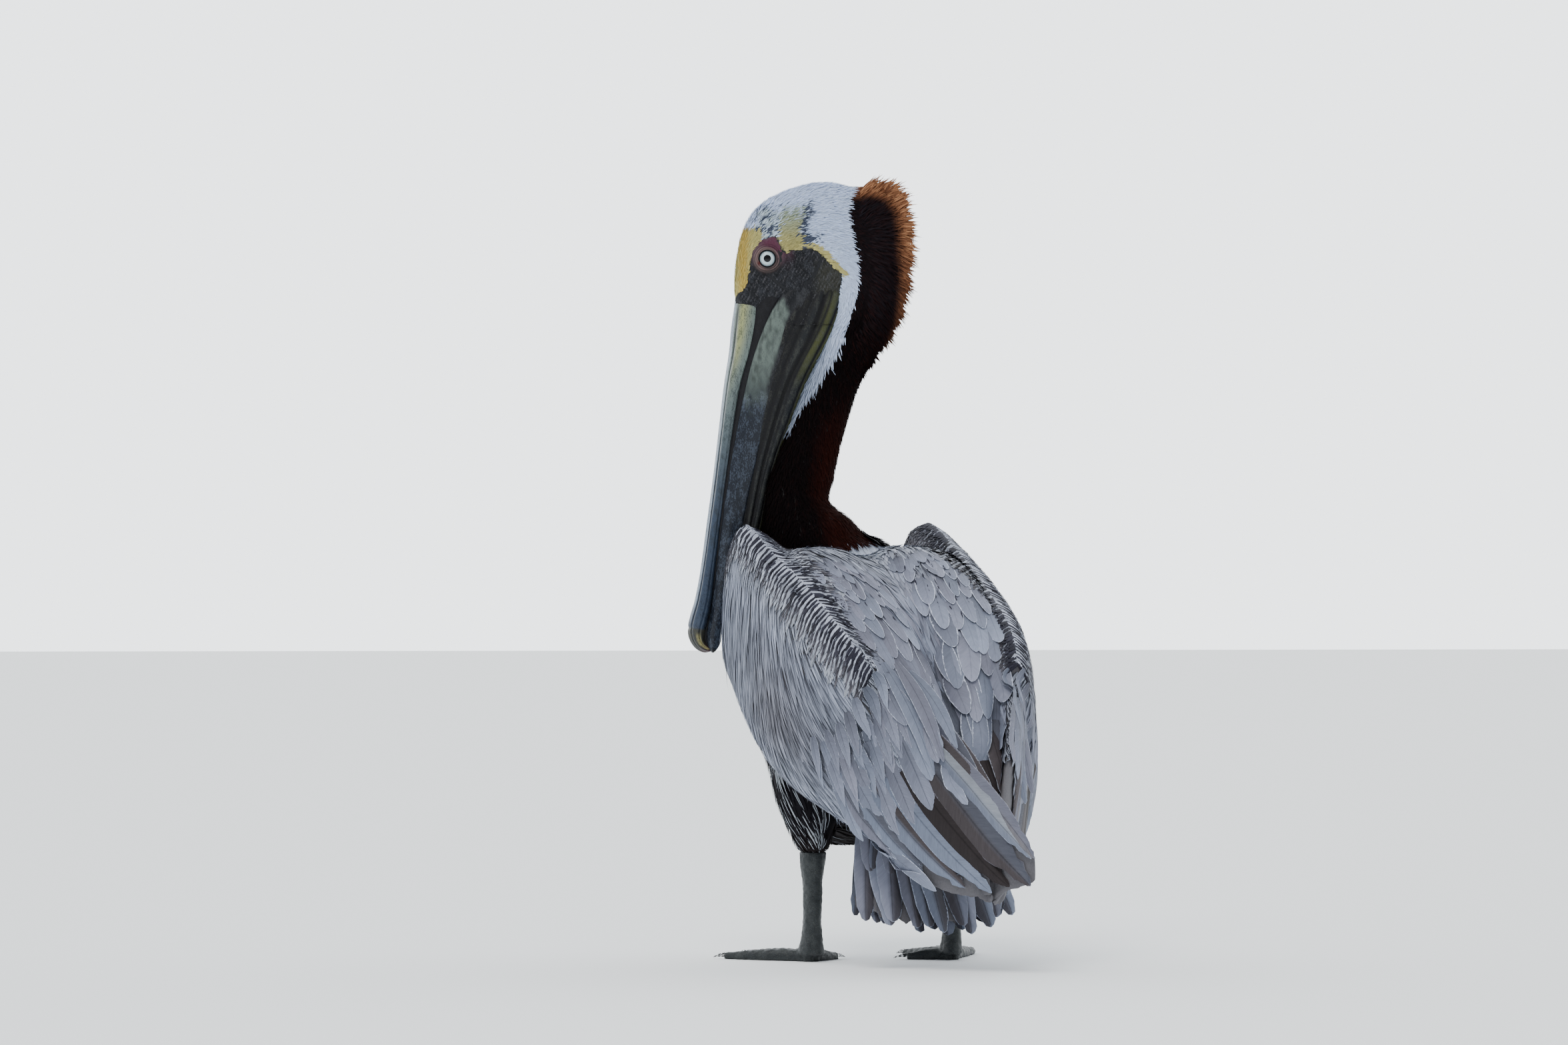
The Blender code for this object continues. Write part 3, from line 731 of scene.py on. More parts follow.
WHITE = (0.595, 0.700, 0.920)
YELLOW = (0.48, 0.43, 0.17)
PALE_YELLOW = (0.42, 0.50, 0.38)
ORANGE_YELLOW = (0.52, 0.37, 0.09)
FLECK = (0.075, 0.090, 0.135)
FACE_DARK = (0.0046, 0.0052, 0.0078)
FACE_MOTTLE = (0.026, 0.027, 0.032)
NECK_DARK = (0.0040, 0.0026, 0.0030)
NECK_RED = (0.022, 0.0052, 0.0036)
CHESTNUT = (0.32, 0.125, 0.058)
CHESTNUT_TIP = (0.47, 0.228, 0.115)
# Painted sheen: the blue that the dark plumage gains on the upper neck and on the mane.
NECK_SHEEN = (0, 0.001, 0.0016)
MANE_SHEEN = (0, 0.0028, 0.0046)

# The outer edge of the mane's tufts, from the crown round to the back of the neck.
MANE_EDGE = np.array([
    (-14, 705), (2, 707), (20, 706), (35, 694), (44, 673), (48, 648), (47, 620), (43, 592), (35, 566), (22, 541),
    (7, 518), (-6, 498),
], float)

BARE_OUTLINE = np.array(
    list(zip(*FACE_EDGE)) + list(zip(*POUCH_EDGE[::-1]))[::-1] + [(-150, 440), (-150, 592), (-119, 592)], float
)


def edge_distance(p, edge):
    """How far places are from the nearest of the straight runs between an edge's points."""
    far = []
    for start, end in zip(edge, edge[1:]):
        run = end - start
        t = np.clip(((p - start) @ run) / max(run @ run, 1e-9), 0, 1)
        far.append(np.linalg.norm(p - start - t[:, None] * run, axis=1))
    return np.min(far, 0)


def flat_places(aft, height):
    """Places of the head's middle plane, one row each."""
    return np.stack([np.asarray(aft, float).ravel(), np.asarray(height, float).ravel()], 1)


def over_face(aft, height):
    """How far a place is outside the bare face and pouch, in millimetres. Inside, it is negative."""
    p = flat_places(aft, height)
    inside = np.zeros(len(p), bool)
    for start, end in zip(BARE_OUTLINE, BARE_OUTLINE[1:]):
        over = (start[1] > p[:, 1]) != (end[1] > p[:, 1])
        rise = end[1] - start[1]
        cross = start[0] + (p[:, 1] - start[1]) * (end[0] - start[0]) / (rise if rise else 1e-9)
        inside ^= over & (p[:, 0] < cross)
    far = edge_distance(p, BARE_OUTLINE)
    return np.where(inside, -far, far).reshape(np.shape(aft))


def mane_glow(aft, height):
    """How chestnut the mane is at a place: 1 along its outer edge, and 0 further in and down the neck."""
    p = flat_places(aft, height)
    band = lerp(9, 23, smooth(p[:, 1], 540, 640)) + 12 * smooth(p[:, 1], 668, 696)
    glow = smooth(edge_distance(p, MANE_EDGE), band, 0.42 * band)
    glow = glow * (0.55 * smooth(p[:, 1], 505, 600) + 0.45 * smooth(p[:, 1], 590, 650))
    return glow.reshape(np.shape(aft))


def head_colours(points, rng):
    """White, yellow and dark over the head and neck, at each feather's root, with painted shade on the pale colours
    low on the neck.
    """
    aft, _, height = to_head(points)
    count = len(points)
    ragged = rng.normal(0, 1.1, (2, count)).clip(-2, 2)
    a, h = aft + ragged[0], height + ragged[1]
    nape = np.interp(h, *NAPE_EDGE)
    out = over_face(aft, height)
    colour = painted(WHITE, count)
    near_edge = (out < 3.4 + 0.6 * ragged[0]) & (a > -62) & (a < -17) & (h > 613)
    strip = (a < -95) & (h < 652)
    wedge_front = -79.5 + 2.5 * smooth(h, 650, 636)
    wedge_back = -57 - 5 * bell(h, 655, 9)
    wedge = (a > wedge_front) & (a < wedge_back) & (h < 673) & (h > 600)
    wash = (a < -60) & (a > -99) & (h < 668) & (h > 600)
    colour[wash] = lerp(WHITE, PALE_YELLOW, rng.uniform(0.15, 0.6, wash.sum())[:, None])
    colour[wedge] = lerp(YELLOW, PALE_YELLOW, smooth(h[wedge], 636, 672)[:, None])
    colour[wedge] *= 0.82
    high = wedge & (rng.random(count) < smooth(h, 652, 678) * 0.75)
    colour[high] = lerp(colour[high], WHITE, 0.7)
    colour[near_edge] = YELLOW
    colour[strip] = lerp(YELLOW, ORANGE_YELLOW, bell(a[strip], -111, 4.5)[:, None])
    chance = 0.42 * bell(a, -92, 12) * bell(h, 663, 10)
    chance += 0.75 * bell(a - wedge_back, 2.5, 3.5) * smooth(h, 636, 642) * smooth(h, 682, 672)
    chance += 0.8 * bell(a, -52, 7) * bell(h, 643, 4)
    chance += 0.7 * bell(a, -88, 9) * bell(h, 652, 3)
    flecked = rng.random(count) < chance
    colour[flecked] = FLECK
    # Painted shade: the pale colours darken, down to half, from height 585 to 505, where the neck turns down from the
    # light.
    colour = colour * lerp(1, 0.50, smooth(h, 585, 505))[:, None]
    dark = ((aft + 0.5 * ragged[0] > nape) & (h > 470)) | (h < 472 + ragged[1]) | (aft > nape + 3)
    red = smooth(aft - np.interp(height, [380, 420, 480, 560], [-40, -52, -44, 0]), -8, 14) * smooth(height, 540, 440)
    deep = lerp(NECK_DARK, NECK_RED, np.clip(red + rng.normal(0, 0.08, count), 0, 1)[:, None])
    upper = smooth(height, 560, 610)[:, None]
    deep = deep * lerp(1, 2.6, upper) + np.array(NECK_SHEEN) * upper
    deep = lerp(deep, CHESTNUT, 0.6 * mane_glow(aft, height)[:, None])
    colour[dark] = deep[dark]
    return colour


def flow_head(points, normal):
    """Round the head: up the forehead, back over the crown and down the nape."""
    aft, _, height = to_head(points)
    way = AFT * (height - 588)[:, None] - UP * (aft + 40)[:, None]
    way = unit(way) + AFT * 0.25 - UP * smooth(height, 600, 560)[:, None] * 1.2
    return tangent(way, normal)


def flow_neck(_, normal):
    """Down the neck, a little towards its back."""
    return tangent(-UP + AFT * 0.12, normal)


def neck_foot(points):
    """The height at which the dark neck gives way to the pale mantle."""
    q = body(points)
    across = q @ np.array([-SIDE[1], SIDE[0], 0.0])
    return np.interp(across, [-75, -60, -30, -3, 20], [350, 358, 369, 375, 376])


HEAD_FOOT = 560  # below this height the head's short feathers give way to the neck's


def head_and_neck():
    """Silky feathers: short ones over the head, shortest round the face, and longer ones down the neck."""
    rng = np.random.default_rng(11)
    aft, _, height = to_head(FACE_MIDDLE)
    plumed = on(*HEAD_AND_NECK) & (over_face(aft, height) > -0.6)
    plumed &= np.hypot(aft - EYE["aft"], height - EYE["height"]) >= 11
    plumed &= body(FACE_MIDDLE)[:, 2] > neck_foot(FACE_MIDDLE) - 4
    silk = feather_material("head_plumage")
    for name, faces, spacing, length, width, flow in (
        ("head_feathers", plumed & (height > HEAD_FOOT), 1.15, 7.0, 1.5, flow_head),
        ("neck_feathers", plumed & (height <= HEAD_FOOT), 1.75, 10.5, 2.1, flow_neck),
    ):
        points, face = scatter(rng, faces, spacing)
        count = len(points)
        aft, _, height = to_head(points)
        out = over_face(aft, height)
        lengths = length * rng.uniform(0.75, 1.2, count)
        if name == "head_feathers":
            lengths *= lerp(0.55, 1, smooth(out, 0, 22))
        path, normals = follow(points, face, flow, lengths, 3, rng, 0.2)
        tint = head_colours(points, rng) * rng.uniform(0.82, 1.10, (count, 1))
        widths = width * rng.uniform(0.8, 1.2, count)
        rise = lerp(0.8, 2.1, smooth(out, 0, 18)) * rng.uniform(0.7, 1.2, count)
        rise = np.where(height < HEAD_FOOT, 2.2 * rng.uniform(0.7, 1.2, count), rise)
        look = looks(rng, count, 0.1, 0.2)
        lay(name, path, normals, lengths, widths, "spike", tint, tint * 0.85, look, silk, columns=1, rise=(0.1, rise))


def mane_paths(rng, points, normal, clump):
    """Each tuft's line, combed outwards over the back of the head and drooping down the nape, and its normals."""
    count = len(points)
    aft, side, height = to_head(points)
    rise = np.where(height > 632, 1.0, 0.25)[:, None]
    outward = unit(AFT * (aft + 34)[:, None] + UP * (height - 632)[:, None] * rise)
    facing = np.clip((normal * outward).sum(1), 0, 1)[:, None]
    droop = -UP * smooth(height, 690, 560)[:, None] * 0.9 + AFT * smooth(height, 655, 700)[:, None] * 0.55
    way = outward + droop * 0.9
    way = unit(tangent(way, normal) * (1 - facing) + unit(way) * facing + normal * 0.22)
    way = unit(way + rng.normal(0, 0.10, (count, 3)))
    way = unit(way + np.cross(way, SIDE) * clump * 0.28)
    lengths = lerp(3.0, 11.0, smooth(height, 503, 600)) * rng.uniform(0.7, 1.2, count)
    lengths *= (1 + 0.30 * wavy(points, 0.006, 15)) * lerp(1.0, 1.3, smooth(height, 655, 695))
    s = np.linspace(0, 1, 5)[None, :, None]
    reach = (lengths * MM)[:, None, None]
    path = points[:, None, :] + way[:, None, :] * reach * s - UP * reach * s**2 * 0.10
    flat = normal * (1 - facing) + SIDE * np.where(side >= 0, 1.0, -1.0)[:, None] * (0.3 + facing)
    normals = unit(tangent(flat + rng.normal(0, 0.3, (count, 3)), way))
    return path, np.repeat(normals[:, None, :], 5, 1), lengths


def mane():
    """Tufts on the back of the head: near black, and bright chestnut along their outer edge."""
    rng = np.random.default_rng(12)
    aft, side, height = to_head(FACE_MIDDLE)
    back = np.interp(height, *NAPE_EDGE)
    ridge = (aft > back + 9) & (height > 503) & (height < 712) & (np.abs(side) < 26)
    points, face = scatter(rng, ridge, 1.5)
    count = len(points)
    clump = wavy(points, 0.009, 5)[:, None]
    path, normals, lengths = mane_paths(rng, points, FACE_NORMAL[face], clump)
    aft, _, height = to_head(path)
    glow = mane_glow(aft, height) * rng.uniform(0.45, 1.15, (count, 1))
    glow = np.clip(glow + 0.12 * clump * glow, 0, 1)[..., None]
    high = smooth(height[:, -1:], 520, 600)
    dark = np.array(NECK_DARK) * lerp(1, 3.2, high) + np.array(MANE_SHEEN) * high
    base = lerp(dark, NECK_RED, rng.uniform(0, 0.5, (count, 1)))[:, None, :]
    tint = lerp(base, lerp(CHESTNUT, CHESTNUT_TIP, glow**3), glow)
    widths = rng.uniform(1.0, 1.9, count)
    lay("mane_tufts", path, normals, lengths, widths, "spike", tint, tint * 0.9, looks(rng, count, 0.1, 0.2),
        feather_material("mane_plumage"), columns=1, rise=(0, 0))


# ---------------------------------------------------------------- markings of the body

SILVER = (0.262, 0.296, 0.396)
PALE_SILVER = (0.420, 0.455, 0.530)
WARM_GREY = (0.238, 0.230, 0.258)
MAUVE_GREY = (0.236, 0.244, 0.316)
PALE_RIM = (0.50, 0.54, 0.66)
INK = (0.012, 0.012, 0.020)
SLATE = (0.125, 0.132, 0.170)
QUILL_BROWN = (0.092, 0.079, 0.086)
QUILL_DARK = (0.042, 0.034, 0.036)
BLUE_GREY = (0.245, 0.285, 0.390)
BELLY = (0.010, 0.009, 0.012)
STREAK_WHITE = (0.37, 0.40, 0.44)
THIGH_BROWN = (0.026, 0.020, 0.018)

# The top edge of the folded wing, from the wrist back, and its low edge: y, x and height.
RIDGE = [
    (-90, 95, 362), (-78, 93, 380), (-58, 93, 392), (-22, 92, 376), (30, 90, 349), (80, 86, 321), (125, 80, 294),
    (160, 68, 264), (200, 31, 200), (262, -33, 102),
]


def side_of(points):
    """1 for places on the bird's left, and -1 on its right."""
    return np.where(body(points)[:, 0] >= 0, 1.0, -1.0)


def flow_wing(points, normal):
    """Down from the ridge on both of its slopes, then more and more to the back."""
    q = body(points)
    side = side_of(points)[:, None]
    level = np.cross(np.tile(UP, (len(points), 1)), normal) * side
    level = np.where(np.linalg.norm(level, axis=1, keepdims=True) > 0.2, unit(level), BACK)
    inner = (normal[:, 0] * side[:, 0] < -0.15)[:, None]
    level = np.where(inner, BACK, level)
    lean = np.radians(lerp(12, 42, smooth(q[:, 1], -70, 170)) + 8 * smooth(q[:, 2], 240, 130))[:, None]
    way = -UP * np.cos(lean) + level * np.sin(lean)
    return tangent(way, normal)


def flow_shoulder(points, normal):
    """Back and down over the shoulder, and in towards the spine."""
    side = side_of(points)[:, None]
    return tangent(SHOULDER_LIE - LEFT * 0.13 * side, normal)


def flow_mantle(points, normal):
    """Away from the foot of the neck, and then back along the spine."""
    q = body(points)
    away = np.stack([q[:, 0] + 4, q[:, 1] + 66, np.zeros(len(q))], 1)
    near = smooth(np.linalg.norm(away, axis=1), 110, 45)[:, None]
    way = unit(away) * near + (BACK * 0.8 - UP * 0.45) * (1.15 - near) - UP * 0.2
    return tangent(way, normal)


def flow_down(_, normal):
    """Down and a little back, over the underparts."""
    return tangent(-UP + BACK * 0.5, normal)


def ridge_drop(points):
    """How far below the ridge of the wing a place is, in millimetres."""
    q = body(points)
    rows = np.array(RIDGE, float)
    return np.interp(q[:, 1], rows[:, 0], rows[:, 2]) - q[:, 2]


def ridge_distance(points):
    """How far places are from the top edge of the wing on their side, in millimetres."""
    return edge_distance(np.abs(body(points)) * (1, 0, 0) + body(points) * (0, 1, 1), np.array(RIDGE)[:8, (1, 0, 2)])


def on(*names):
    """The skin's faces over the named nodes."""
    return part_of(FACE_OWNER, *names)


def shaded(rng, count, spread_by=0.12):
    """A little lighter or darker for each feather."""
    return (1 + rng.normal(0, spread_by, count).clip(-0.35, 0.35))[:, None]


def ridge_line(side, shares):
    """Places on the skin along the top edge of a folded wing, and the faces they are on."""
    rows = np.array(RIDGE[:8], float)
    x, height = (np.interp(shares, np.linspace(0, 1, len(rows)), rows[:, k]) for k in (1, 2))
    y = np.interp(shares, np.linspace(0, 1, len(rows)), rows[:, 0])
    return nearest(SKIN, world(np.stack([x * side, y, height], 1)))


def walked(points, faces, flow, step, steps):
    """Every place on the way as points walk over the skin, for rows of feathers."""
    normal = FACE_NORMAL[faces]
    stops = [(points, faces)]
    for _ in range(steps):
        way = tangent(flow(points, normal), normal)
        points, faces = nearest(SKIN, points + way * step * MM)
        normal = FACE_NORMAL[faces]
        stops.append((points, faces))
    return stops


def flow_inward(points, normal):
    """From the ridge of the wing in towards the spine."""
    side = side_of(points)[:, None]
    return tangent(-LEFT * side * 0.8 + BACK * 0.55 - UP * 0.5, normal)


def flow_comb(points, normal):
    """From the ridge outwards, bending down with the wing's slope."""
    side = side_of(points)[:, None]
    return tangent(-UP * 0.9 + LEFT * side * 0.5 + BACK * 0.12, normal)


def comb_depth(y):
    """How far down the wing's slope the dark comb reaches from the ridge."""
    return np.interp(y, [-90, -60, 0, 60, 105, 150], [20, 24, 27, 32, 36, 30])


COMB_LINES = 74
COMB_GAP = 4  # millimetres from one row of a comb to the next


def comb_rows(rng, side, flow, rows, long, dark):
    """The pale or the dark feathers of one comb, row by row from the ridge."""
    inner_right = flow is flow_inward and side < 0
    shares = (np.arange(COMB_LINES) + (0.5 if dark else 0.0)) / COMB_LINES
    shares = np.clip(shares + rng.normal(0, 0.14, COMB_LINES) / COMB_LINES, 0, 1)
    lines = walked(*ridge_line(side, shares), flow, COMB_GAP / 2, 2 * rows)
    y = body(lines[0][0])[:, 1]
    reach = comb_depth(y) if flow is flow_comb else np.interp(y, [-60, 60], [31 if side > 0 else 48, 31])
    reach = reach * rng.uniform(0.7, 1.15, COMB_LINES)
    for k in range(rows):
        kept = COMB_GAP * k < reach - 3
        if not kept.any():
            return
        points, face = (v[kept] for v in lines[2 * k])
        count = len(points)
        fade = np.clip(COMB_GAP * k / reach[kept], 0, 1)
        lengths = long * rng.uniform(0.9, 1.15, count)
        path, normals = follow(points, face, flow, lengths, 5, rng, 0.05)
        pale = lerp(PALE_RIM, PALE_SILVER, fade[:, None]) * shaded(rng, count, 0.20) * 0.80
        ink = lerp(np.array(INK) * 1.6, WARM_GREY, 0.7 * fade[:, None] ** 2) * shaded(rng, count, 0.25)
        if dark:
            tint, width, rise = ink, lerp(3.5, 1.8, fade**1.5) * (1.45 if inner_right else 1), 3.1
        else:
            tint, width, rise = pale * (0.78 if inner_right else 1), 4.8, 2.2
        widths = width * rng.uniform(0.85, 1.15, count)
        yield path, normals, lengths, widths, tint, tint * 0.8, rise * rng.uniform(0.9, 1.1, count)


def combs():
    """The two neat combs along the ridge of each wing: pale feathers in lines, with dark ones between them."""
    vane = feather_material("comb_plumage")
    for side, name in SIDE_NAMES.items():
        rng = np.random.default_rng(25 + side)
        found = []
        for flow, rows, long in ((flow_comb, 13, 15), (flow_inward, 11, 12)):
            for dark in (False, True):
                found += comb_rows(rng, side, flow, rows, long, dark)
        path, normals, lengths, widths, tint, rim, rise = (np.concatenate(v) for v in zip(*found))
        lay("combs_" + name, path, normals, lengths, widths, "lance", tint, rim, looks(rng, len(path), 0.2, 0.15),
            vane, rise=(0.6, rise), roll=0.05, camber=0.25)


def covert_tints(rng, points, side, drop):
    """Silver, paler low down in front and warm grey behind the wing's middle, in uneven waves."""
    y, z = body(points)[:, 1], body(points)[:, 2]
    low = smooth(z, 230, 150)
    warm = bell(y, 50, 55) * bell(drop, 95, 40)
    tint = mixed(SILVER, PALE_SILVER, 0.22 + 0.60 * low * smooth(y, 120, 0))
    tint = mixed(tint, np.array(WARM_GREY) * 0.78, warm * 0.72)
    tint = lerp(tint, MAUVE_GREY, 0.5 if side < 0 else 0.15)
    tint = tint * lerp(0.80, 1.06, smooth(wavy(points * (1, 1, 0.35), 0.011, 44 + side), -0.9, 0.6))[:, None]
    tint = dimmed(tint, 0.24 * smooth(drop, 30, 60) * smooth(drop, 160, 110))
    return tint * (1 + 0.10 * wavy(points, 0.030, 40 + side))[:, None] * shaded(rng, len(points), 0.21)


def wing_coverts():
    """Narrow feathers that hang from the ridge in long silky lines: dark edged above, silver below."""
    vane = feather_material("covert_plumage")
    q = body(FACE_MIDDLE)
    for side, name in SIDE_NAMES.items():
        rng = np.random.default_rng(20 + side)
        faces = on("wing_" + name) & (q[:, 0] * side > 0) & (ridge_drop(FACE_MIDDLE) > 9)
        faces |= on("flight_" + name) & (q[:, 1] < (172 if side > 0 else 196)) & (q[:, 2] > 95)
        faces &= (np.abs(q[:, 0]) > 80) | (q[:, 1] > 60)
        points, face = scatter(rng, faces, 2.15, lie=BACK * 0.4 - UP, stretch=4.4)
        count = len(points)
        drop, y = ridge_drop(points), body(points)[:, 1]
        rear = smooth(y, 70, 160)
        lengths = lerp(24, 46, smooth(drop, 8, 70)) * rng.uniform(0.8, 1.2, count) * lerp(1, 0.85, rear)
        widths = lerp(2.7, 3.3, smooth(drop, 5, 120)) * rng.uniform(0.8, 1.25, count) * lerp(1, 1.5, rear)
        path, normals = follow(points, face, flow_wing, lengths, 7, rng, 0.025)
        tint = covert_tints(rng, points, side, drop)
        dark = smooth(drop, comb_depth(y) + 10, comb_depth(y) - 6)
        streaked = rng.random(count) < 0.15 + 0.22 * dark
        tint = mixed(tint, PALE_SILVER, 0.4 * dark)
        # The rims: ink dark near the ridge, which is the marking; lower down, tint * 0.48 is painted shade in the
        # thin gaps between strands.
        rim = mixed(tint * 0.48, INK, 0.8 * dark)
        tint[streaked] = lerp(tint[streaked], INK, 0.7)
        widths[streaked] *= 0.38
        # Painted shade: each strand is a little darker at its root, where the strands above overlap it.
        along = lerp(0.93, 1.05, np.linspace(0, 1, 8))[None, :, None]
        look = lerp(0.20, 0.42, dark) + 0.08 * rng.random(count)
        rise = lerp(1.5, 2.3, smooth(drop, 0, 40)) * rng.uniform(0.75, 1.25, count) + 0.3 * streaked
        lay("coverts_" + name, path, normals, lengths, widths, "lance", tint[:, None, :] * along, rim,
            looks(rng, count, look, 0.12), vane, rise=(0.3, rise), roll=0.08)


def filaments():
    """A few loose threads at the front edge of the wing, which stand away from the breast."""
    rng = np.random.default_rng(27)
    q = body(FACE_MIDDLE)
    faces = on("wing_left") & (q[:, 1] < -62) & (q[:, 2] < 310) & (q[:, 2] > 215) & (q[:, 0] > 60)
    points, face = scatter(rng, faces, 13)
    count = len(points)
    lengths = rng.uniform(26, 40, count)
    path, normals = follow(points, face, flow_down, lengths, 7, rng, 0.1)
    tint = PALE_SILVER * shaded(rng, count, 0.2)
    widths = rng.uniform(0.7, 1.1, count)
    lay("wing_filaments", path, normals, lengths, widths, "spike", tint, tint * 0.7, looks(rng, count, 0.1, 0.1),
        feather_material("filament_plumage"), columns=1, rise=(0.5, rng.uniform(5, 9, count)))


def valley(points, side):
    """How deep in the parting between the two shoulders a place is, for the painted shade there: 1 in it, and 0 from
    14 mm away.
    """
    other = SHOULDER_TREES[-side]
    far = np.array([other.find_nearest(p)[3] for p in points.tolist()]) / MM
    return smooth(far, 13, 1) * smooth(body(points)[:, 1], -40, 10)


SHOULDER_TREES = {side: solid_tree("scapulars_" + name) for side, name in SIDE_NAMES.items()}
SHOULDER_LIE = BACK * 0.78 - UP * 0.62


def shoulder_streaks(rng, name, side, faces, vane):
    points, face = scatter(rng, faces, 3.1, lie=SHOULDER_LIE, stretch=4.0)
    count = len(points)
    y = body(points)[:, 1]
    lengths = lerp(24, 44, smooth(y, -20, 80)) * rng.uniform(0.85, 1.2, count)
    widths = lerp(3.4, 5.0, smooth(y, -20, 80)) * rng.uniform(0.8, 1.2, count)
    path, normals = follow(points, face, flow_shoulder, lengths, 7, rng, 0.03)
    tint = mixed(MAUVE_GREY, SILVER, rng.random(count))
    tint = mixed(tint, PALE_SILVER, smooth(y, 80, -20) * 0.55)
    tint = tint * (1 + 0.10 * wavy(points, 0.035, 50 + side))[:, None] * shaded(rng, count, 0.13)
    # Painted shade in the parting between the shoulders.
    tint = dimmed(tint, 0.78 * valley(points, side))
    tint = tint * lerp(0.72, 1.05, smooth(wavy(points, 0.012, 60 + side), -0.9, 0.5))[:, None]
    streaked = rng.random(count) < 0.14
    tint[streaked] = lerp(tint[streaked], INK, 0.7)
    widths[streaked] *= 0.4
    look = looks(rng, count, 0.2, 0.15)
    lay("shoulder_streaks_" + name, path, normals, lengths, widths, "lance", tint, tint * 0.75, look, vane,
        rise=(0.3, rng.uniform(1.6, 2.4, count) + 0.4 * streaked), roll=0.06)


def shoulder_feathers(rng, name, side, faces, start, slim, vane):
    q = body(FACE_MIDDLE)
    spacing = lerp(6.5, 13.0, smooth(q[:, 1], start - 20, 125)) * slim
    points, face = scatter(rng, faces & (q[:, 1] > start), spacing, lie=SHOULDER_LIE, stretch=2.1)
    count = len(points)
    y = body(points)[:, 1]
    large = smooth(y, start - 20, 125)
    lengths = lerp(34, 62, large) * rng.uniform(0.88, 1.15, count)
    widths = lerp(9.0, 19.0, large) * rng.uniform(0.85, 1.15, count) * slim
    path, normals = follow(points, face, flow_shoulder, lengths, 8, rng, 0.06)
    path, normals = resampled(path, normals, TIP_ROWS)
    # sunk is the painted shade in the parting between the shoulders, put on both the tint and the rim.
    sunk = 0.65 * valley(points, side)
    tint = dimmed(mixed(MAUVE_GREY, SILVER, rng.random(count)) * shaded(rng, count, 0.14) * 0.90, sunk)
    rim = dimmed(np.array(PALE_RIM) * 1.1 * shaded(rng, count, 0.1), sunk)
    rim = mixed(tint * 1.15, rim, smooth(y, start - 10, start + 45))
    # Painted shade: each feather is darker at its root, where the feathers above overlap it.
    along = lerp(0.45, 1.12, TIP_ROWS)[None, :, None]
    look = looks(rng, count, lerp(0.22, 0.12, large), 0.45)
    rise = lerp(2.6, 4.6, large) * rng.uniform(0.85, 1.15, count)
    lay("shoulder_feathers_" + name, path, normals, lengths, widths, "oval", tint[:, None, :] * along, rim, look,
        vane, columns=6, rise=(0.2, rise), camber=0.16, roll=0.08, frayed=0.12, shares=TIP_ROWS)


def shoulder_marks(rng, name, faces, vane):
    points, face = scatter(rng, faces & (body(FACE_MIDDLE)[:, 1] < 110), 10.5)
    count = len(points)
    lengths = rng.uniform(5, 11, count)
    path, normals = follow(points, face, flow_shoulder, lengths, 3, rng, 0.1)
    tint = painted(np.array(INK) * 2, count)
    widths = rng.uniform(0.9, 1.7, count)
    lay("shoulder_marks_" + name, path, normals, lengths, widths, "lance", tint, tint,
        looks(rng, count, 0.1, 0.1), vane, columns=1, rise=(3.0, 3.6))


def scapulars():
    """Shoulder feathers: long soft streaks, broad ones with pale rims behind, like tiles, and small dark marks."""
    vane, mark = feather_material("shoulder_plumage"), feather_material("shoulder_mark")
    q = body(FACE_MIDDLE)
    edge = np.interp(q[:, 1], [60, 130], [17, 6]) + 14 * (q[:, 0] < 0) * smooth(q[:, 1], 60, 10)
    clear = ridge_distance(FACE_MIDDLE) > edge
    for side, inner, start, slim in ((1, 66, 26, 0.80), (-1, 50, 5, 1.0)):
        name = SIDE_NAMES[side]
        rng = np.random.default_rng(30 + side)
        faces = on("scapulars_" + name) | on("wing_" + name) & (q[:, 0] * side < inner) & (q[:, 1] > -20)
        faces &= clear
        parting = on("trunk") & (q[:, 2] > 225) & (q[:, 1] > -34) & ((q[:, 0] - 2) * side > 0)
        shoulder_streaks(rng, name, side, faces | parting, vane)
        shoulder_feathers(rng, name, side, faces, start, slim, vane)
        shoulder_marks(rng, name, faces, mark)


def mantle():
    """Short pale feathers round the foot of the neck and along the spine, some with dark tips."""
    rng = np.random.default_rng(40)
    q = body(FACE_MIDDLE)
    foot = neck_foot(FACE_MIDDLE)
    faces = on("trunk", "neck_lower") & (q[:, 2] > 240) & (q[:, 2] < foot - 2) & (q[:, 1] > -68) & (q[:, 1] < -12)
    faces |= on(*WINGS) & (q[:, 0] > -56) & (q[:, 0] < 70) & (q[:, 1] < 0)
    points, face = scatter(rng, faces, 2.3)
    count = len(points)
    lengths = rng.uniform(17, 27, count)
    path, normals = follow(points, face, flow_mantle, lengths, 5, rng, 0.06)
    tint = mixed(PALE_SILVER, WHITE, 0.10 + 0.35 * rng.random(count)) * shaded(rng, count, 0.08)
    y, z = body(points)[:, 1], body(points)[:, 2]
    # Painted shade: darker towards the back, where the mantle meets the parting between the shoulders.
    tint = dimmed(tint, 0.45 * smooth(y, -30, 0))
    rim = mixed(tint * 0.62, INK, rng.random(count) < 0.16)
    rise = lerp(0.4, 3.2, smooth(neck_foot(points) - z, 2, 18))
    widths = rng.uniform(2.6, 3.8, count)
    lay("mantle", path, normals, lengths, widths, "lance", tint, rim, looks(rng, count, 0.22, 0.25),
        feather_material("mantle_plumage"), rise=(0.1, rise), roll=0.12)


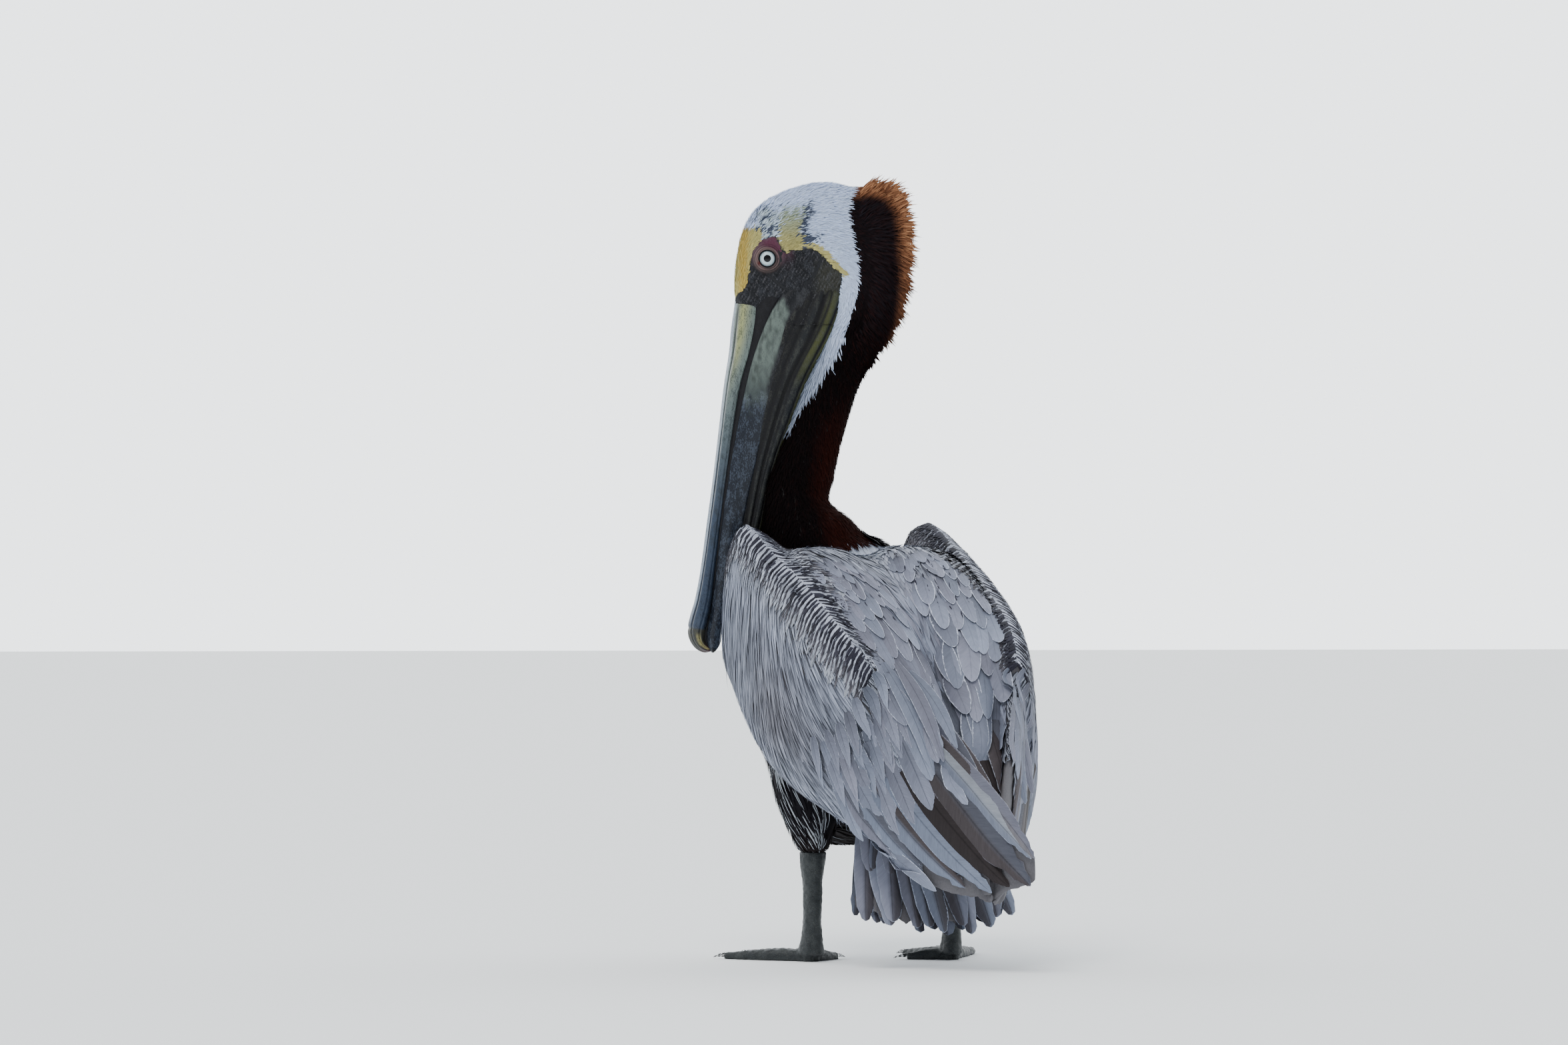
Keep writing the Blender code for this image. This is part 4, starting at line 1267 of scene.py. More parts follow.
def belly():
    """Dark underparts and flanks, drawn with long fine white lines along the wing's lower edge."""
    vane = feather_material("belly_plumage")
    q = body(FACE_MIDDLE)
    rng = np.random.default_rng(50)
    faces = on("trunk") & ((q[:, 2] <= 250) | (q[:, 1] <= -60))
    faces |= on("neck_lower", "neck_middle") & (q[:, 2] < neck_foot(FACE_MIDDLE) + 8) & (q[:, 1] <= -60)
    faces |= on(*THIGHS) & (q[:, 2] < 240)
    inward = FACE_NORMAL[:, 0] * np.sign(q[:, 0]) < -0.25
    faces |= on(*WINGS) & inward & (q[:, 2] < 235) & (q[:, 1] < 120)
    for name, stretch, length, width, colour, rise in (
        ("belly", 2.4, 24, 4.0, BELLY, 6.0),
        ("belly_streaks", 6.6, 38, 1.15, STREAK_WHITE, 6.5),
    ):
        points, face = scatter(rng, faces, 2.9, lie=BACK * 0.35 - UP, stretch=stretch)
        x, _, z = body(points).T
        if name == "belly_streaks":
            flank = smooth(np.abs(x), 40, 62) * smooth(z, 118, 136)
            kept = rng.random(len(points)) < 0.025 + 0.975 * flank
            points, face, x, z = points[kept], face[kept], x[kept], z[kept]
        count = len(points)
        lengths = length * rng.uniform(0.8, 1.2, count)
        path, normals = follow(points, face, flow_down, lengths, 6, rng, 0.015)
        tint = colour * shaded(rng, count, 0.15)
        if name == "belly":
            tint = mixed(tint, THIGH_BROWN, smooth(z, 140, 105) * 0.6)
        else:
            tint = mixed(tint, SLATE, smooth(np.abs(x), 50, 20) * 0.6)
        widths = width * rng.uniform(0.8, 1.2, count)
        lay(name, path, normals, lengths, widths, "lance", tint, tint * 0.7, looks(rng, count, 0.1, 0.2), vane,
            columns=1, rise=(2.5, rise * rng.uniform(0.92, 1.06, count)), roll=0.05)


def thighs():
    """Short brown down round the thighs and the underside, deepest at the hocks."""
    rng = np.random.default_rng(60)
    faces = on("trunk", *THIGHS) & (body(FACE_MIDDLE)[:, 2] < 124)
    points, face = scatter(rng, faces, 1.8)
    count = len(points)
    z = body(points)[:, 2]
    lengths = rng.uniform(7, 12, count)
    path, normals = follow(points, face, flow_down, lengths, 3, rng, 0.35)
    tint = mixed(THIGH_BROWN, BELLY, smooth(z, 100, 150)) * shaded(rng, count, 0.2)
    rise = lerp(6.0, 3.6, smooth(z, 96, 112)) * rng.uniform(0.6, 1.2, count)
    widths = rng.uniform(1.4, 2.2, count)
    lay("thigh_down", path, normals, lengths, widths, "spike", tint, tint * 0.8, looks(rng, count, 0.1, 0.1),
        feather_material("thigh_plumage"), columns=1, rise=(0.2, rise))


# ---------------------------------------------------------------- wing and tail quills

# The folded wing's low edge, from the flank to the tips beyond the tail: y, x, height, then the top edge's x
# and height at the same y.
WING_EDGE = [
    (60, 102, 154, 87, 333), (80, 103, 146, 86, 321), (125, 88, 125, 80, 294), (150, 70, 111, 70, 260),
    (175, 50, 84, 52, 233), (200, 27, 66, 31, 200), (222, 7, 58, 9, 166), (240, -9, 57, -9, 138),
    (254, -26, 62, -24, 116), (262, -35, 70, -33, 102),
]


def wing_surface(side, tree, y, height):
    """Places on the outer face of a folded wing, and the normals there. y may run past either end."""
    edge_y, edge_x = np.array(WING_EDGE, float).T[:2]
    x = np.interp(y, edge_y, edge_x)
    if side < 0:
        x = x + 26 * np.clip((y - 150) / (262 - 150), 0, 1)
    slope = (np.interp(y + 4, edge_y, edge_x) - np.interp(y - 4, edge_y, edge_x)) / 8
    slope = np.where(y > 258, -0.95, slope)
    out = unit(np.stack([np.ones(len(y)), -slope, np.zeros(len(y))], 1)) * (side, 1, 1)
    places, normals = [], []
    for p, d in zip(world(np.stack([x * side, y, height], 1)), out):
        hit, normal = tree.ray_cast(Vector(p + d * 0.06), Vector(-d), 0.12)[:2]
        if hit is None:
            hit, normal = tree.find_nearest(Vector(p))[0], d
        places.append(hit[:])
        normals.append(normal[:])
    return np.array(places), unit(unit(np.array(normals)) * 0.3 + out * 0.7)


QUILL_ROWS = 1 - (1 - np.linspace(0, 1, 18)) ** 1.7


# The tiers of long feathers on the folded wing. Each row gives a feather's tip, as y and height, its length,
# its width, and how steeply it hangs: the run in y and the rise in height for each millimetre of length.
TIERS = {
    "primaries": [
        (170, 99, 90, 14, 0.50, 0.86), (189, 86, 100, 16, 0.55, 0.83), (218, 73, 112, 19, 0.58, 0.81),
        (236, 70, 120, 21, 0.58, 0.81), (245, 74, 120, 25, 0.56, 0.83), (257, 75, 124, 28, 0.53, 0.85),
        (258, 100, 110, 16, 0.55, 0.84), (262, 98, 118, 18, 0.52, 0.86), (250, 127, 96, 13, 0.52, 0.86),
    ],
    "greater_coverts": [
        (148, 114, 62, 13, 0.30, 0.95), (163, 112, 64, 14, 0.31, 0.95), (176, 117, 66, 15, 0.32, 0.95),
        (186, 127, 66, 17, 0.32, 0.95), (195, 140, 68, 21, 0.33, 0.94), (198, 164, 62, 17, 0.34, 0.94),
        (202, 180, 58, 15, 0.36, 0.93), (206, 196, 52, 14, 0.38, 0.92),
    ],
    "median_coverts": [
        (136, 136, 46, 10, 0.27, 0.96), (147, 138, 48, 10.5, 0.28, 0.96), (157, 141, 48, 11, 0.28, 0.96),
        (166, 150, 48, 12, 0.29, 0.96), (173, 163, 46, 12.5, 0.3, 0.95), (179, 178, 44, 12.5, 0.32, 0.95),
        (184, 195, 42, 12, 0.34, 0.94), (188, 212, 40, 11, 0.36, 0.93),
    ],
    "small_coverts": [
        (122, 158, 38, 8, 0.25, 0.97), (132, 160, 38, 8.5, 0.26, 0.97), (142, 164, 40, 9, 0.27, 0.96),
        (151, 172, 40, 9.5, 0.28, 0.96), (159, 184, 38, 10, 0.29, 0.96), (165, 198, 36, 10, 0.31, 0.95),
        (170, 213, 34, 9.5, 0.33, 0.94), (174, 228, 32, 9, 0.35, 0.94),
    ],
}
VANE_SHAPES = {"primaries": "blade", "greater_coverts": "oval", "median_coverts": "lance", "small_coverts": "lance"}
# How high a tier's first and last coverts lie over the wing. The right wing's feathers lie lower.
COVERT_LIFTS = {"greater_coverts": (1.6, 4.0), "median_coverts": (1.8, 4.4), "small_coverts": (1.8, 4.4)}
# The two smaller tiers have one more feather between each two rows, moved on from the middle by this much.
BETWEEN = (-5, 6, 0, 0, 0, 0)
# How far each flight feather bows upwards in the middle of its run, and how high it lies over its neighbours.
PRIMARY_BOWS = (-4, -5, -6, -6, -3, 0, 3, 6, 5)
PRIMARY_LIFTS = (0.5, 1.1, 1.7, 2.3, 0.6, 2.2, 3.0, 3.6, 3.0)
COVERT_BOW = 2.0
# The two webs of each flight feather, the leading one first, from the lowest feather up.
PRIMARY_WEBS = [
    (SLATE, MAUVE_GREY), (SLATE, BLUE_GREY), (QUILL_BROWN, BLUE_GREY), (BLUE_GREY, BLUE_GREY),
    (QUILL_DARK, QUILL_DARK), (SLATE, QUILL_BROWN), (PALE_SILVER, SILVER), (MAUVE_GREY, WARM_GREY),
    (QUILL_BROWN, QUILL_BROWN),
]


def webs(columns, edge_low, edge_high, turned=1):
    """Which of a vane's columns are on its one web, from 0 to 1, with a short change at the shaft."""
    return smooth(np.linspace(-1, 1, columns + 1) * turned, edge_low, edge_high)


def tier_rows(side, tier):
    """A tier's rows of numbers on one wing, with how far each feather bows and how high it lies."""
    rows = np.array(TIERS[tier], float)
    if tier == "primaries":
        if side < 0:
            rows[:, 0] -= smooth(rows[:, 0], 170, 262) * 38
        return rows, np.array(PRIMARY_BOWS, float), np.array(PRIMARY_LIFTS) * (1 if side > 0 else 0.4)
    if tier != "greater_coverts":
        rows = np.concatenate([rows, (rows[:-1] + rows[1:]) / 2 + BETWEEN])
    lifts = np.interp(np.linspace(0, 1, len(rows)), [0, 1], COVERT_LIFTS[tier])
    return rows, np.full(len(rows), COVERT_BOW), lifts * (1 if side > 0 else 0.45)


def tier_paths(rng, side, tree, rows, bow):
    """The feathers' lines over the wing, from under the tier above down to their tips, and the normals."""
    count = len(rows)
    tip_y, tip_z, length, _, back, up = rows.T
    tip_y, tip_z = tip_y + rng.normal(0, 1.2, count), tip_z + rng.normal(0, 1.5, count)
    ys = tip_y[:, None] - (length * back)[:, None] * (1 - QUILL_ROWS)
    zs = tip_z[:, None] + (length * up)[:, None] * (1 - QUILL_ROWS) + np.sin(np.pi * QUILL_ROWS) * bow[:, None]
    path, normals = (v.reshape(count, -1, 3) for v in wing_surface(side, tree, ys.ravel(), zs.ravel()))
    for _ in range(3):
        path[:, 1:-1] = (path[:, :-2] + path[:, 1:-1] * 2 + path[:, 2:]) / 4
    return path, unit(normals)


def quill_tiers():
    """The long feathers of the folded wings: flight feathers, and three tiers of coverts over their roots."""
    vane = feather_material("quill_plumage")
    for side, name in SIDE_NAMES.items():
        tree = solid_tree("wing_" + name, "flight_" + name)
        rng = np.random.default_rng(70 + side)
        web = webs(8, -0.05, 0.05, side)[None, None, :, None]
        for tier, shape in VANE_SHAPES.items():
            rows, bow, high = tier_rows(side, tier)
            count = len(rows)
            path, normals = tier_paths(rng, side, tree, rows, bow)
            widths = rows[:, 3] * rng.uniform(0.95, 1.05, count)
            pale = mixed(MAUVE_GREY, SILVER, rng.random(count))[:, None, None, :]
            if tier == "primaries":
                leading, trailing = (np.array(PRIMARY_WEBS)[:, k, None, None, :] * 0.72 for k in (0, 1))
                root, frayed = 0.70, 0.7
            else:
                leading, trailing = pale, pale * 0.86
                root, frayed = 0.42, 0.15
            tint = lerp(trailing, leading, web) * shaded(rng, count, 0.08)[:, None, None, :]
            # Painted shade: each feather is darker at its root, where the tier above overlaps it; root is the share
            # of brightness kept there.
            tint = tint * lerp(root, 1.05, QUILL_ROWS)[None, :, None, None]
            if tier == "primaries":
                rim = np.array(PRIMARY_WEBS).mean(1) * 1.25
            else:
                rim = np.array(PALE_RIM) * 0.95 * shaded(rng, count, 0.1)
            lay(tier + "_" + name, path, normals, run_lengths(path), widths, shape, tint, rim,
                looks(rng, count, 0.09, 0.4), vane, columns=8, rise=(0.6, high), shares=QUILL_ROWS, camber=0.2,
                roll=np.full(count, -0.10 * side), frayed=frayed)


# The long inner feathers of each wing: root, tip, width, height over the wing, and colour.
TERTIALS = {
    "left": [
        ((58, 150, 262), (36, 201, 166), 13, 4.5, SILVER), ((48, 156, 262), (28, 206, 178), 13, 4.0, MAUVE_GREY),
        ((38, 160, 256), (16, 208, 188), 12, 1.6, SILVER), ((44, 142, 248), (6, 214, 154), 15, 0.6, MAUVE_GREY),
        ((30, 150, 238), (-6, 224, 142), 16, 0.2, SLATE), ((20, 156, 224), (-14, 230, 134), 16, -0.6, QUILL_BROWN),
    ],
    "right": [
        ((-62, 118, 268), (-66, 190, 150), 17, 2.0, MAUVE_GREY), ((-54, 130, 256), (-54, 198, 142), 18, 1.4, SILVER),
        ((-44, 140, 244), (-42, 206, 140), 18, 0.8, SLATE), ((-32, 148, 232), (-30, 214, 138), 18, 0.2, QUILL_BROWN),
        ((-20, 152, 218), (-18, 222, 132), 18, -0.4, QUILL_DARK),
    ],
}


def tertials():
    """Long feathers that come out from under the shoulders and close the gap over the rump."""
    rng = np.random.default_rng(75)
    vane = feather_material("tertial_plumage")
    s = QUILL_ROWS
    for (name, rows), lean in zip(TERTIALS.items(), (0.30, -0.20)):
        start, end, widths, lift, colour = (np.array(column, float) for column in zip(*rows))
        count = len(rows)
        end = end + rng.normal(0, 1.2, (count, 3))
        tint = colour * shaded(rng, count, 0.06) * 0.8
        path = lerp(start[:, None], end[:, None], s[None, :, None])
        path = path + np.sin(np.pi * s)[None, :, None] * np.array([0, 6, 4])
        normals = np.broadcast_to(unit(np.array([lean, 0.85, 0.42])), path.shape)
        path = world(path + normals * lift[:, None, None])
        # Painted shade: each feather is darker at its root, where the shoulders overlap it.
        along = lerp(0.7, 1.08, s)[None, :, None]
        lay("tertials_" + name, path, normals, run_lengths(path), widths, "oval", tint[:, None, :] * along,
            lerp(tint, PALE_RIM, 0.6), looks(rng, count, 0.12, 0.4), vane, columns=8, rise=(0, 0.8), shares=s,
            camber=0.2, roll=0.1, frayed=0.35)


# The fan of the tail: its root, how steeply it hangs, its length, its half width at the root and at the tips,
# how far its middle is arched, and its thickness.
TAIL_ROOT = (0, 100, 142.0)
TAIL_LEAN = math.radians(72)
TAIL_LENGTH = 117
TAIL_HALVES = (52, 76)
TAIL_ARCH = 14
TAIL_THICK = 7


def tail_paths(place, a, s, face, lift):
    """Lines down one face of the fan, from places across it, and their normals."""
    down = np.array([0, math.cos(TAIL_LEAN), -math.sin(TAIL_LEAN)])
    out = np.array([0, math.sin(TAIL_LEAN), math.cos(TAIL_LEAN)])
    over = lift + (1.6 if face > 0 else 1.2) * (1 - np.abs(a))
    thick = 0 if face > 0 else TAIL_THICK * (1 - 0.65 * np.clip(s, 0, 1))
    off = TAIL_ARCH * s * (1 - a * a) - thick + face * over
    half = lerp(*TAIL_HALVES, np.clip(s, -0.4, 1.1))
    path = TAIL_ROOT + (half * a)[..., None] * LEFT + (place * s)[..., None] * down + off[..., None] * out
    return world(path), unit(out * face + LEFT * (0.25 * a)[..., None])


def tail():
    """Eleven tail feathers on both faces of the fan, with two rows of coverts over their roots behind."""
    rng = np.random.default_rng(80)
    vane = feather_material("tail_plumage")
    shares = 1 - (1 - np.linspace(0, 1, 13)) ** 1.6
    for name, count, reach, width, face, lift in (
        ("tail_feathers", 11, (0.0, 1.02), 23, 1, 0.6),
        ("tail_under", 11, (0.0, 1.0), 23, -1, 0.6),
        ("tail_coverts", 11, (-0.3, 0.60), 18, 1, 2.2),
        ("tail_coverts_upper", 10, (-0.5, 0.30), 15, 1, 3.6),
    ):
        place = np.linspace(-0.95, 0.95, count) + rng.normal(0, 0.03, count)
        s = lerp(*reach, shares)[None, :]
        a = place[:, None] + rng.normal(0, 0.07, (count, 1)) * s**2
        far = TAIL_LENGTH * (1 - 0.16 * a * a) * (1 + rng.normal(0, 0.028, (count, 1)))
        path, normals = tail_paths(far, a, s, face, lift)
        tint = mixed(BLUE_GREY, MAUVE_GREY, rng.random(count)) * shaded(rng, count, 0.2) * 0.85
        inner = webs(6, 0.1, -0.2, np.sign(place)[:, None] * face)[:, None, :, None]
        outer_web = lerp(tint, QUILL_BROWN, 0.75) * 0.62
        tint = lerp(outer_web[:, None, None, :], tint[:, None, None, :], inner)
        rim = lerp(PALE_RIM, SILVER, 0.7 if lift < 1 else 0.3) * shaded(rng, count, 0.2)
        widths = width * rng.uniform(0.85, 1.1, count)
        lay(name, path, normals, run_lengths(path), widths, "round", tint, rim, looks(rng, count, 0.12, 0.4), vane,
            columns=6, rise=(0.0, 0.8), camber=0.16, roll=-0.14 * np.sign(place) + rng.normal(0, 0.06, count),
            frayed=0.3, shares=shares)


# ---------------------------------------------------------------- bill and pouch

# The upper bill, across its own run: aft, height, half depth, half width.
UPPER_BILL = [
    (-103.4, 592.5, 14.5, 16), (-106.5, 568.1, 14, 21), (-111.6, 541.8, 11, 22.5), (-118.7, 512.3, 8.5, 21),
    (-125.3, 465.6, 7.3, 18), (-132.9, 407.8, 6.7, 15.5), (-140.5, 350.9, 6.8, 15), (-145.1, 320, 7.8, 16),
    (-149.1, 303.5, 8.3, 15.5), (-151.6, 294, 7.8, 13), (-151.8, 286.5, 6.8, 9.5), (-149.4, 280, 5.2, 7),
    (-144.4, 275.8, 3.4, 4.5), (-138.8, 274.2, 1.4, 2),
]
# Each side of the lower bill: aft, height, half depth, distance from the middle plane.
LOWER_BILL = [
    (-47.6, 610.8, 9.5, 24.4), (-70.5, 582.3, 11.2, 25.4), (-86.6, 543.8, 12.3, 25.2), (-98, 503.2, 11.8, 23),
    (-108.6, 452.4, 11, 20), (-118.6, 397.6, 9.6, 17), (-126.6, 344.8, 8.3, 14), (-132.9, 308, 7, 10),
    (-136.4, 292, 6.6, 6.5), (-137.2, 281.5, 6.2, 5), (-137.9, 275, 3.6, 3.6), (-138.2, 271.8, 1.0, 3),
]
RAMUS_THICK = 2.8
# The pouch, along the bill: its front edge's aft and height, its rear edge's, and its half width.
POUCH = [
    (-61.8, 608.7, -20.2, 615.8, 19), (-76, 594.5, -16.1, 594.5, 25), (-92.3, 562, -29.3, 557, 26),
    (-103.4, 523.5, -51.5, 517.4, 24), (-112.6, 480.9, -68.3, 473.7, 21), (-119.7, 434.2, -83.2, 430.1, 17.5),
    (-126.8, 381.4, -95.3, 377.3, 14), (-132.9, 332.7, -112.6, 330.6, 9.5), (-135.9, 306.3, -124.8, 305.3, 4.5),
]


# How far the rings that close a loft's ends are drawn in to the middle: the inner one and the outer one.
CAP_SHARES = (0.5, 0.98)


def closed_loft(name, rings):
    """A closed surface through rings of points, all of one length, drawn together at both ends."""
    rows, columns = rings.shape[:2]
    first, last = (np.repeat(end.mean(1, keepdims=True), columns, 1) for end in (rings[:1], rings[-1:]))
    head = [lerp(rings[:1], first, share) for share in CAP_SHARES[::-1]]
    foot = [lerp(rings[-1:], last, share) for share in CAP_SHARES]
    stack = np.concatenate([*head, rings, *foot])
    return mesh_object(name, stack.reshape(-1, 3), grid_faces(rows + 4, columns, closed=True)), stack


def with_caps(values):
    """One value per ring, repeated for the four rings that close a loft's ends."""
    values = np.asarray(values, float)
    return np.concatenate([values[:1], values[:1], values, values[-1:], values[-1:]])


def around(columns):
    """Angles once round a section."""
    return np.linspace(0, 2 * math.pi, columns, endpoint=False)


def squared(wave, bluntness):
    """A sine or cosine made blunter, so that a section drawn with it is a rounded box."""
    return np.sign(wave) * np.abs(wave) ** (2 / bluntness)


def square_to(aft, height):
    """The direction across a line in the head's plane, which faces forward."""
    run = unit(np.stack([np.gradient(aft), np.gradient(height)], 1))
    return np.stack([run[:, 1], -run[:, 0]], 1)


def rings_at(aft, height, across, y, x):
    """Rings round places of the head's plane: y lies along each one's direction across, and x to the side."""
    return in_head(aft[:, None] + across[:, :1] * y, x, height[:, None] + across[:, 1:] * y)


def waves(size, seed, *grids):
    """The noise of wavy over a grid of places, given by their three coordinates."""
    places = np.stack(np.broadcast_arrays(*grids), -1)
    return wavy(places.reshape(-1, 3), size, seed).reshape(places.shape[:-1])


def bare_material(name, roughness, fine, bump, coat=0.0, grain=900, stretch=(1, 1, 1)):
    """Bare skin or horn: the points' tint, mottled at two sizes, with a fine grain."""
    m = Nodes(name, roughness, Coat_Weight=coat, Coat_Roughness=0.25, Specular_IOR_Level=0.22)
    place = m.stretched(m.place(), *stretch)
    tint, second = m.attribute("tint"), m.attribute("rim")
    amount = m.look()[0]
    coarse = m.noise(place, grain / 6, 5.0, 0.65)
    small = m.noise(place, grain, 3.0, 0.6)
    mottle = m.step(m.plus(m.times(coarse, 0.5), m.times(small, 0.5)), 0.485, 0.565)
    colour = m.mix(m.times(mottle, amount), tint, second)
    shade = m.plus(1.0 - fine / 2, m.times(small, fine))
    m.colour(m.darkened(colour, shade))
    m.rough(m.plus(roughness - 0.08, m.times(coarse, 0.16)))
    m.bump(m.plus(m.times(small, 0.5), coarse), bump, 0.0008)
    return m.material


def coloured(made, tint, second, amount, material):
    """Gives a piece of bare skin or horn its two colours, the share of the second one, and its material."""
    tint, second = tint.reshape(-1, 3), second.reshape(-1, 3)
    put_colours(made.data, "tint", tint)
    put_colours(made.data, "rim", second)
    look = np.zeros((len(tint), 3))
    look[:, 0] = amount
    put_colours(made.data, "look", look)
    made.data.materials.append(material)
    return made


HORN_PALE = (0.23, 0.29, 0.27)
HORN_GREEN = (0.125, 0.158, 0.142)
HORN_BLUE = (0.040, 0.058, 0.094)
RIDGE_HIGHLIGHT = (0.175, 0.245, 0.340)
HORN_SLATE = (0.0070, 0.0102, 0.0185)
HORN_MOSS = (0.36, 0.37, 0.15)
HORN_DARK = (0.008, 0.010, 0.014)
NAIL_BROWN = (0.055, 0.052, 0.035)
NAIL_MAROON = (0.055, 0.014, 0.012)
NAIL_YELLOW = (0.40, 0.36, 0.16)
HORN_MOTTLE = (0.10, 0.13, 0.12)
RAMUS_MOTTLE = (0.30, 0.36, 0.34)
RAMUS_SPECK = (0.060, 0.078, 0.112)
# The edges of the pale side of the lower bill, above the slate coloured part: heights, and aft at each.
RAMUS_FRONT = ([501, 528, 555, 569, 579, 589], [-112, -105.0, -96.4, -90.4, -85.0, -77.8])
RAMUS_REAR = ([501, 521, 539, 556, 573, 581, 589], [-91.0, -86.0, -80.5, -75.3, -70.6, -69.8, -74])
# Angles round the upper bill's section, from the ridge on top: its groove and its cutting edge.
GROOVE = 0.78
LIP = 1.85
# How far down the upper bill its nail starts, as a share of its length.
NAIL_START = 0.70


def upper_relief(x, y, angle, along, height):
    """How far the upper bill's surface stands out: its ridge, groove, edge and nail, with a fine ripple."""
    fade = smooth(along, 0.02, 0.12) * smooth(along, 0.99, 0.9)
    ridge = 1.3 * bell(angle, 0, 0.32)
    groove = -1.5 * bell(angle, GROOVE, 0.075) * smooth(along, 0.9, 0.8)
    swell = 0.5 * bell(angle, 1.15, 0.2)
    lip = -0.9 * bell(angle, LIP, 0.09)
    nail = 0.8 * bell(along, NAIL_START, 0.012) * smooth(angle, 1.9, 1.2)
    ripple = 0.25 * waves(26, 3, x * 3, y * 3, height[:, None] * 0.4)
    return (ridge + groove + swell + lip) * fade - nail + ripple * fade


def upper_colours(down, angle):
    """The upper bill's tint, from slate blue with a painted highlight along the ridge to a brown nail, and its
    mottling.
    """
    colour = mixed(np.array(HORN_PALE) * 0.72, HORN_BLUE, smooth(down, 0.16, 0.42))
    # Painted highlight along the ridge of the upper bill.
    colour = mixed(colour, RIDGE_HIGHLIGHT, smooth(angle, 0.75, 0.35) * smooth(down, 0.70, 0.5) * 0.85)
    colour = mixed(colour, HORN_MOSS, smooth(down, 0.28, 0.10) * bell(angle, 1.2, 0.34) * 0.8)
    dark = bell(angle, 0.80, 0.10) * smooth(down, 0.01, 0.05) * smooth(down, 0.92, 0.8)
    colour = mixed(colour, HORN_DARK, np.maximum(dark, 0.85 * smooth(angle, 2.10, 2.45)))
    nail = mixed(NAIL_BROWN, NAIL_MAROON, smooth(down, 0.84, 0.97))
    colour = lerp(colour, nail, smooth(down, 0.685, 0.71)[..., None] * 0.85)
    rim = smooth(angle, 1.3, 1.6) * smooth(angle, 2.1, 1.8) * smooth(down, 0.72, 0.8) * smooth(down, 1.0, 0.93)
    colour = mixed(colour, NAIL_YELLOW, rim * 0.9)
    return colour, lerp(colour * 0.30, mixed(HORN_BLUE, HORN_MOTTLE, smooth(down, 0.6, 0.1)), 0.3)


def upper_bill():
    """The upper half of the bill with its hooked nail, as one closed shape."""
    rows, columns = 150, 72
    share = np.linspace(0, 1, rows) ** 0.93
    aft, height, deep, half = curve(UPPER_BILL, share).T
    turn = around(columns)[None, :]
    x = squared(np.sin(turn), 2.3) * half[:, None]
    y = squared(np.cos(turn), 2.3) * deep[:, None]
    angle = np.abs((turn + math.pi) % (2 * math.pi) - math.pi)
    grow = 1 + upper_relief(x, y, angle, share[:, None], height) / np.maximum(np.hypot(x, y), 1e-6)
    made, _ = closed_loft("bill_upper_horn", rings_at(aft, height, square_to(aft, height), y * grow, x * grow))
    down, angle = np.broadcast_arrays(with_caps(share)[:, None], angle)
    return coloured(made, *upper_colours(down, angle), 0.85, HORN)


def lower_colours(places, down, edge):
    """The lower bill's tint: pale green behind, dark bare skin round that, slate in front, and a brown tip."""
    a, _, h = to_head(places)
    blotch = wavy(places, 0.0022, 17) + 0.7 * wavy(places, 0.0009, 19)
    colour = mixed(HORN_GREEN, HORN_SLATE, smooth(h + 6 * blotch, 540, 482))
    colour = dimmed(colour, 0.60 * smooth(blotch, 0.0, 0.9) * smooth(h, 500, 520))
    colour = mixed(colour, HORN_DARK, smooth(edge, 0.93, 1.0) * 0.7)
    front, rear = (np.interp(h, *line) for line in (RAMUS_FRONT, RAMUS_REAR))
    wander = 0.6 * wavy(places, 0.009, 9)
    shown = smooth(a - front, -1.0 + wander, 1.2 + wander) * smooth(rear - a, -1.2 + wander, 1.2 + wander)
    shown = np.maximum(shown, smooth(h, 512, 496)) * smooth(h, 590.5, 588.5)
    colour = mixed(FACE_DARK, colour, shown)
    colour = mixed(colour, NAIL_BROWN, smooth(down, 0.90, 0.97) * 0.7)
    speck = mixed(RAMUS_MOTTLE, RAMUS_SPECK, smooth(h, 530, 490))
    second = mixed(colour * 0.24, speck, np.where(h > 505, 0.18, 0.75))
    return colour, mixed(FACE_MOTTLE, second, shown)


def lower_bill(side):
    """One of the two flat sides of the lower bill, which hold the pouch between them."""
    rows, columns = 120, 32
    share = np.linspace(0, 1, rows)
    aft, height, deep, out = curve(LOWER_BILL, share).T
    turn = around(columns)[None, :]
    c, s = np.cos(turn), np.sin(turn)
    y = squared(c, 2.6) * deep[:, None]
    x = squared(s, 2.2) * RAMUS_THICK * np.ones((rows, 1))
    outer = np.maximum(s, 0)
    x = x + outer * (1.1 * bell(c, 0.1, 0.5) - 0.7 * bell(c, 0.72, 0.1))
    x = x + outer * 0.25 * waves(14, 5, y, height[:, None] * 0.3, x)
    lateral = side * (out[:, None] - RAMUS_THICK + x)
    rings = rings_at(aft, height, square_to(aft, height), y, lateral)
    made, stack = closed_loft("bill_lower_horn_" + SIDE_NAMES[side], rings)
    down, edge = np.repeat(with_caps(share), columns), np.tile(np.abs(c[0]), rows + 4)
    return coloured(made, *lower_colours(stack.reshape(-1, 3), down, edge), 0.85, HORN)


POUCH_BLACK = (0.007, 0.007, 0.009)
POUCH_SLATE = (0.0155, 0.0175, 0.0200)
POUCH_OLIVE = (0.066, 0.072, 0.022)
POUCH_MOTTLE = (0.110, 0.115, 0.100)
# The folds that run down the pouch: place from the front edge at -1 to the rear one at 1, depth, width, and how
# far each drifts back on the way down.
POUCH_FOLDS = [
    (-0.24, 1.6, 0.045, 0.16), (0.02, 2.6, 0.055, 0.14), (0.34, 2.8, 0.05, 0.05), (0.52, 0.9, 0.035, 0.05),
    (0.80, 1.6, 0.035, 0.0),
]


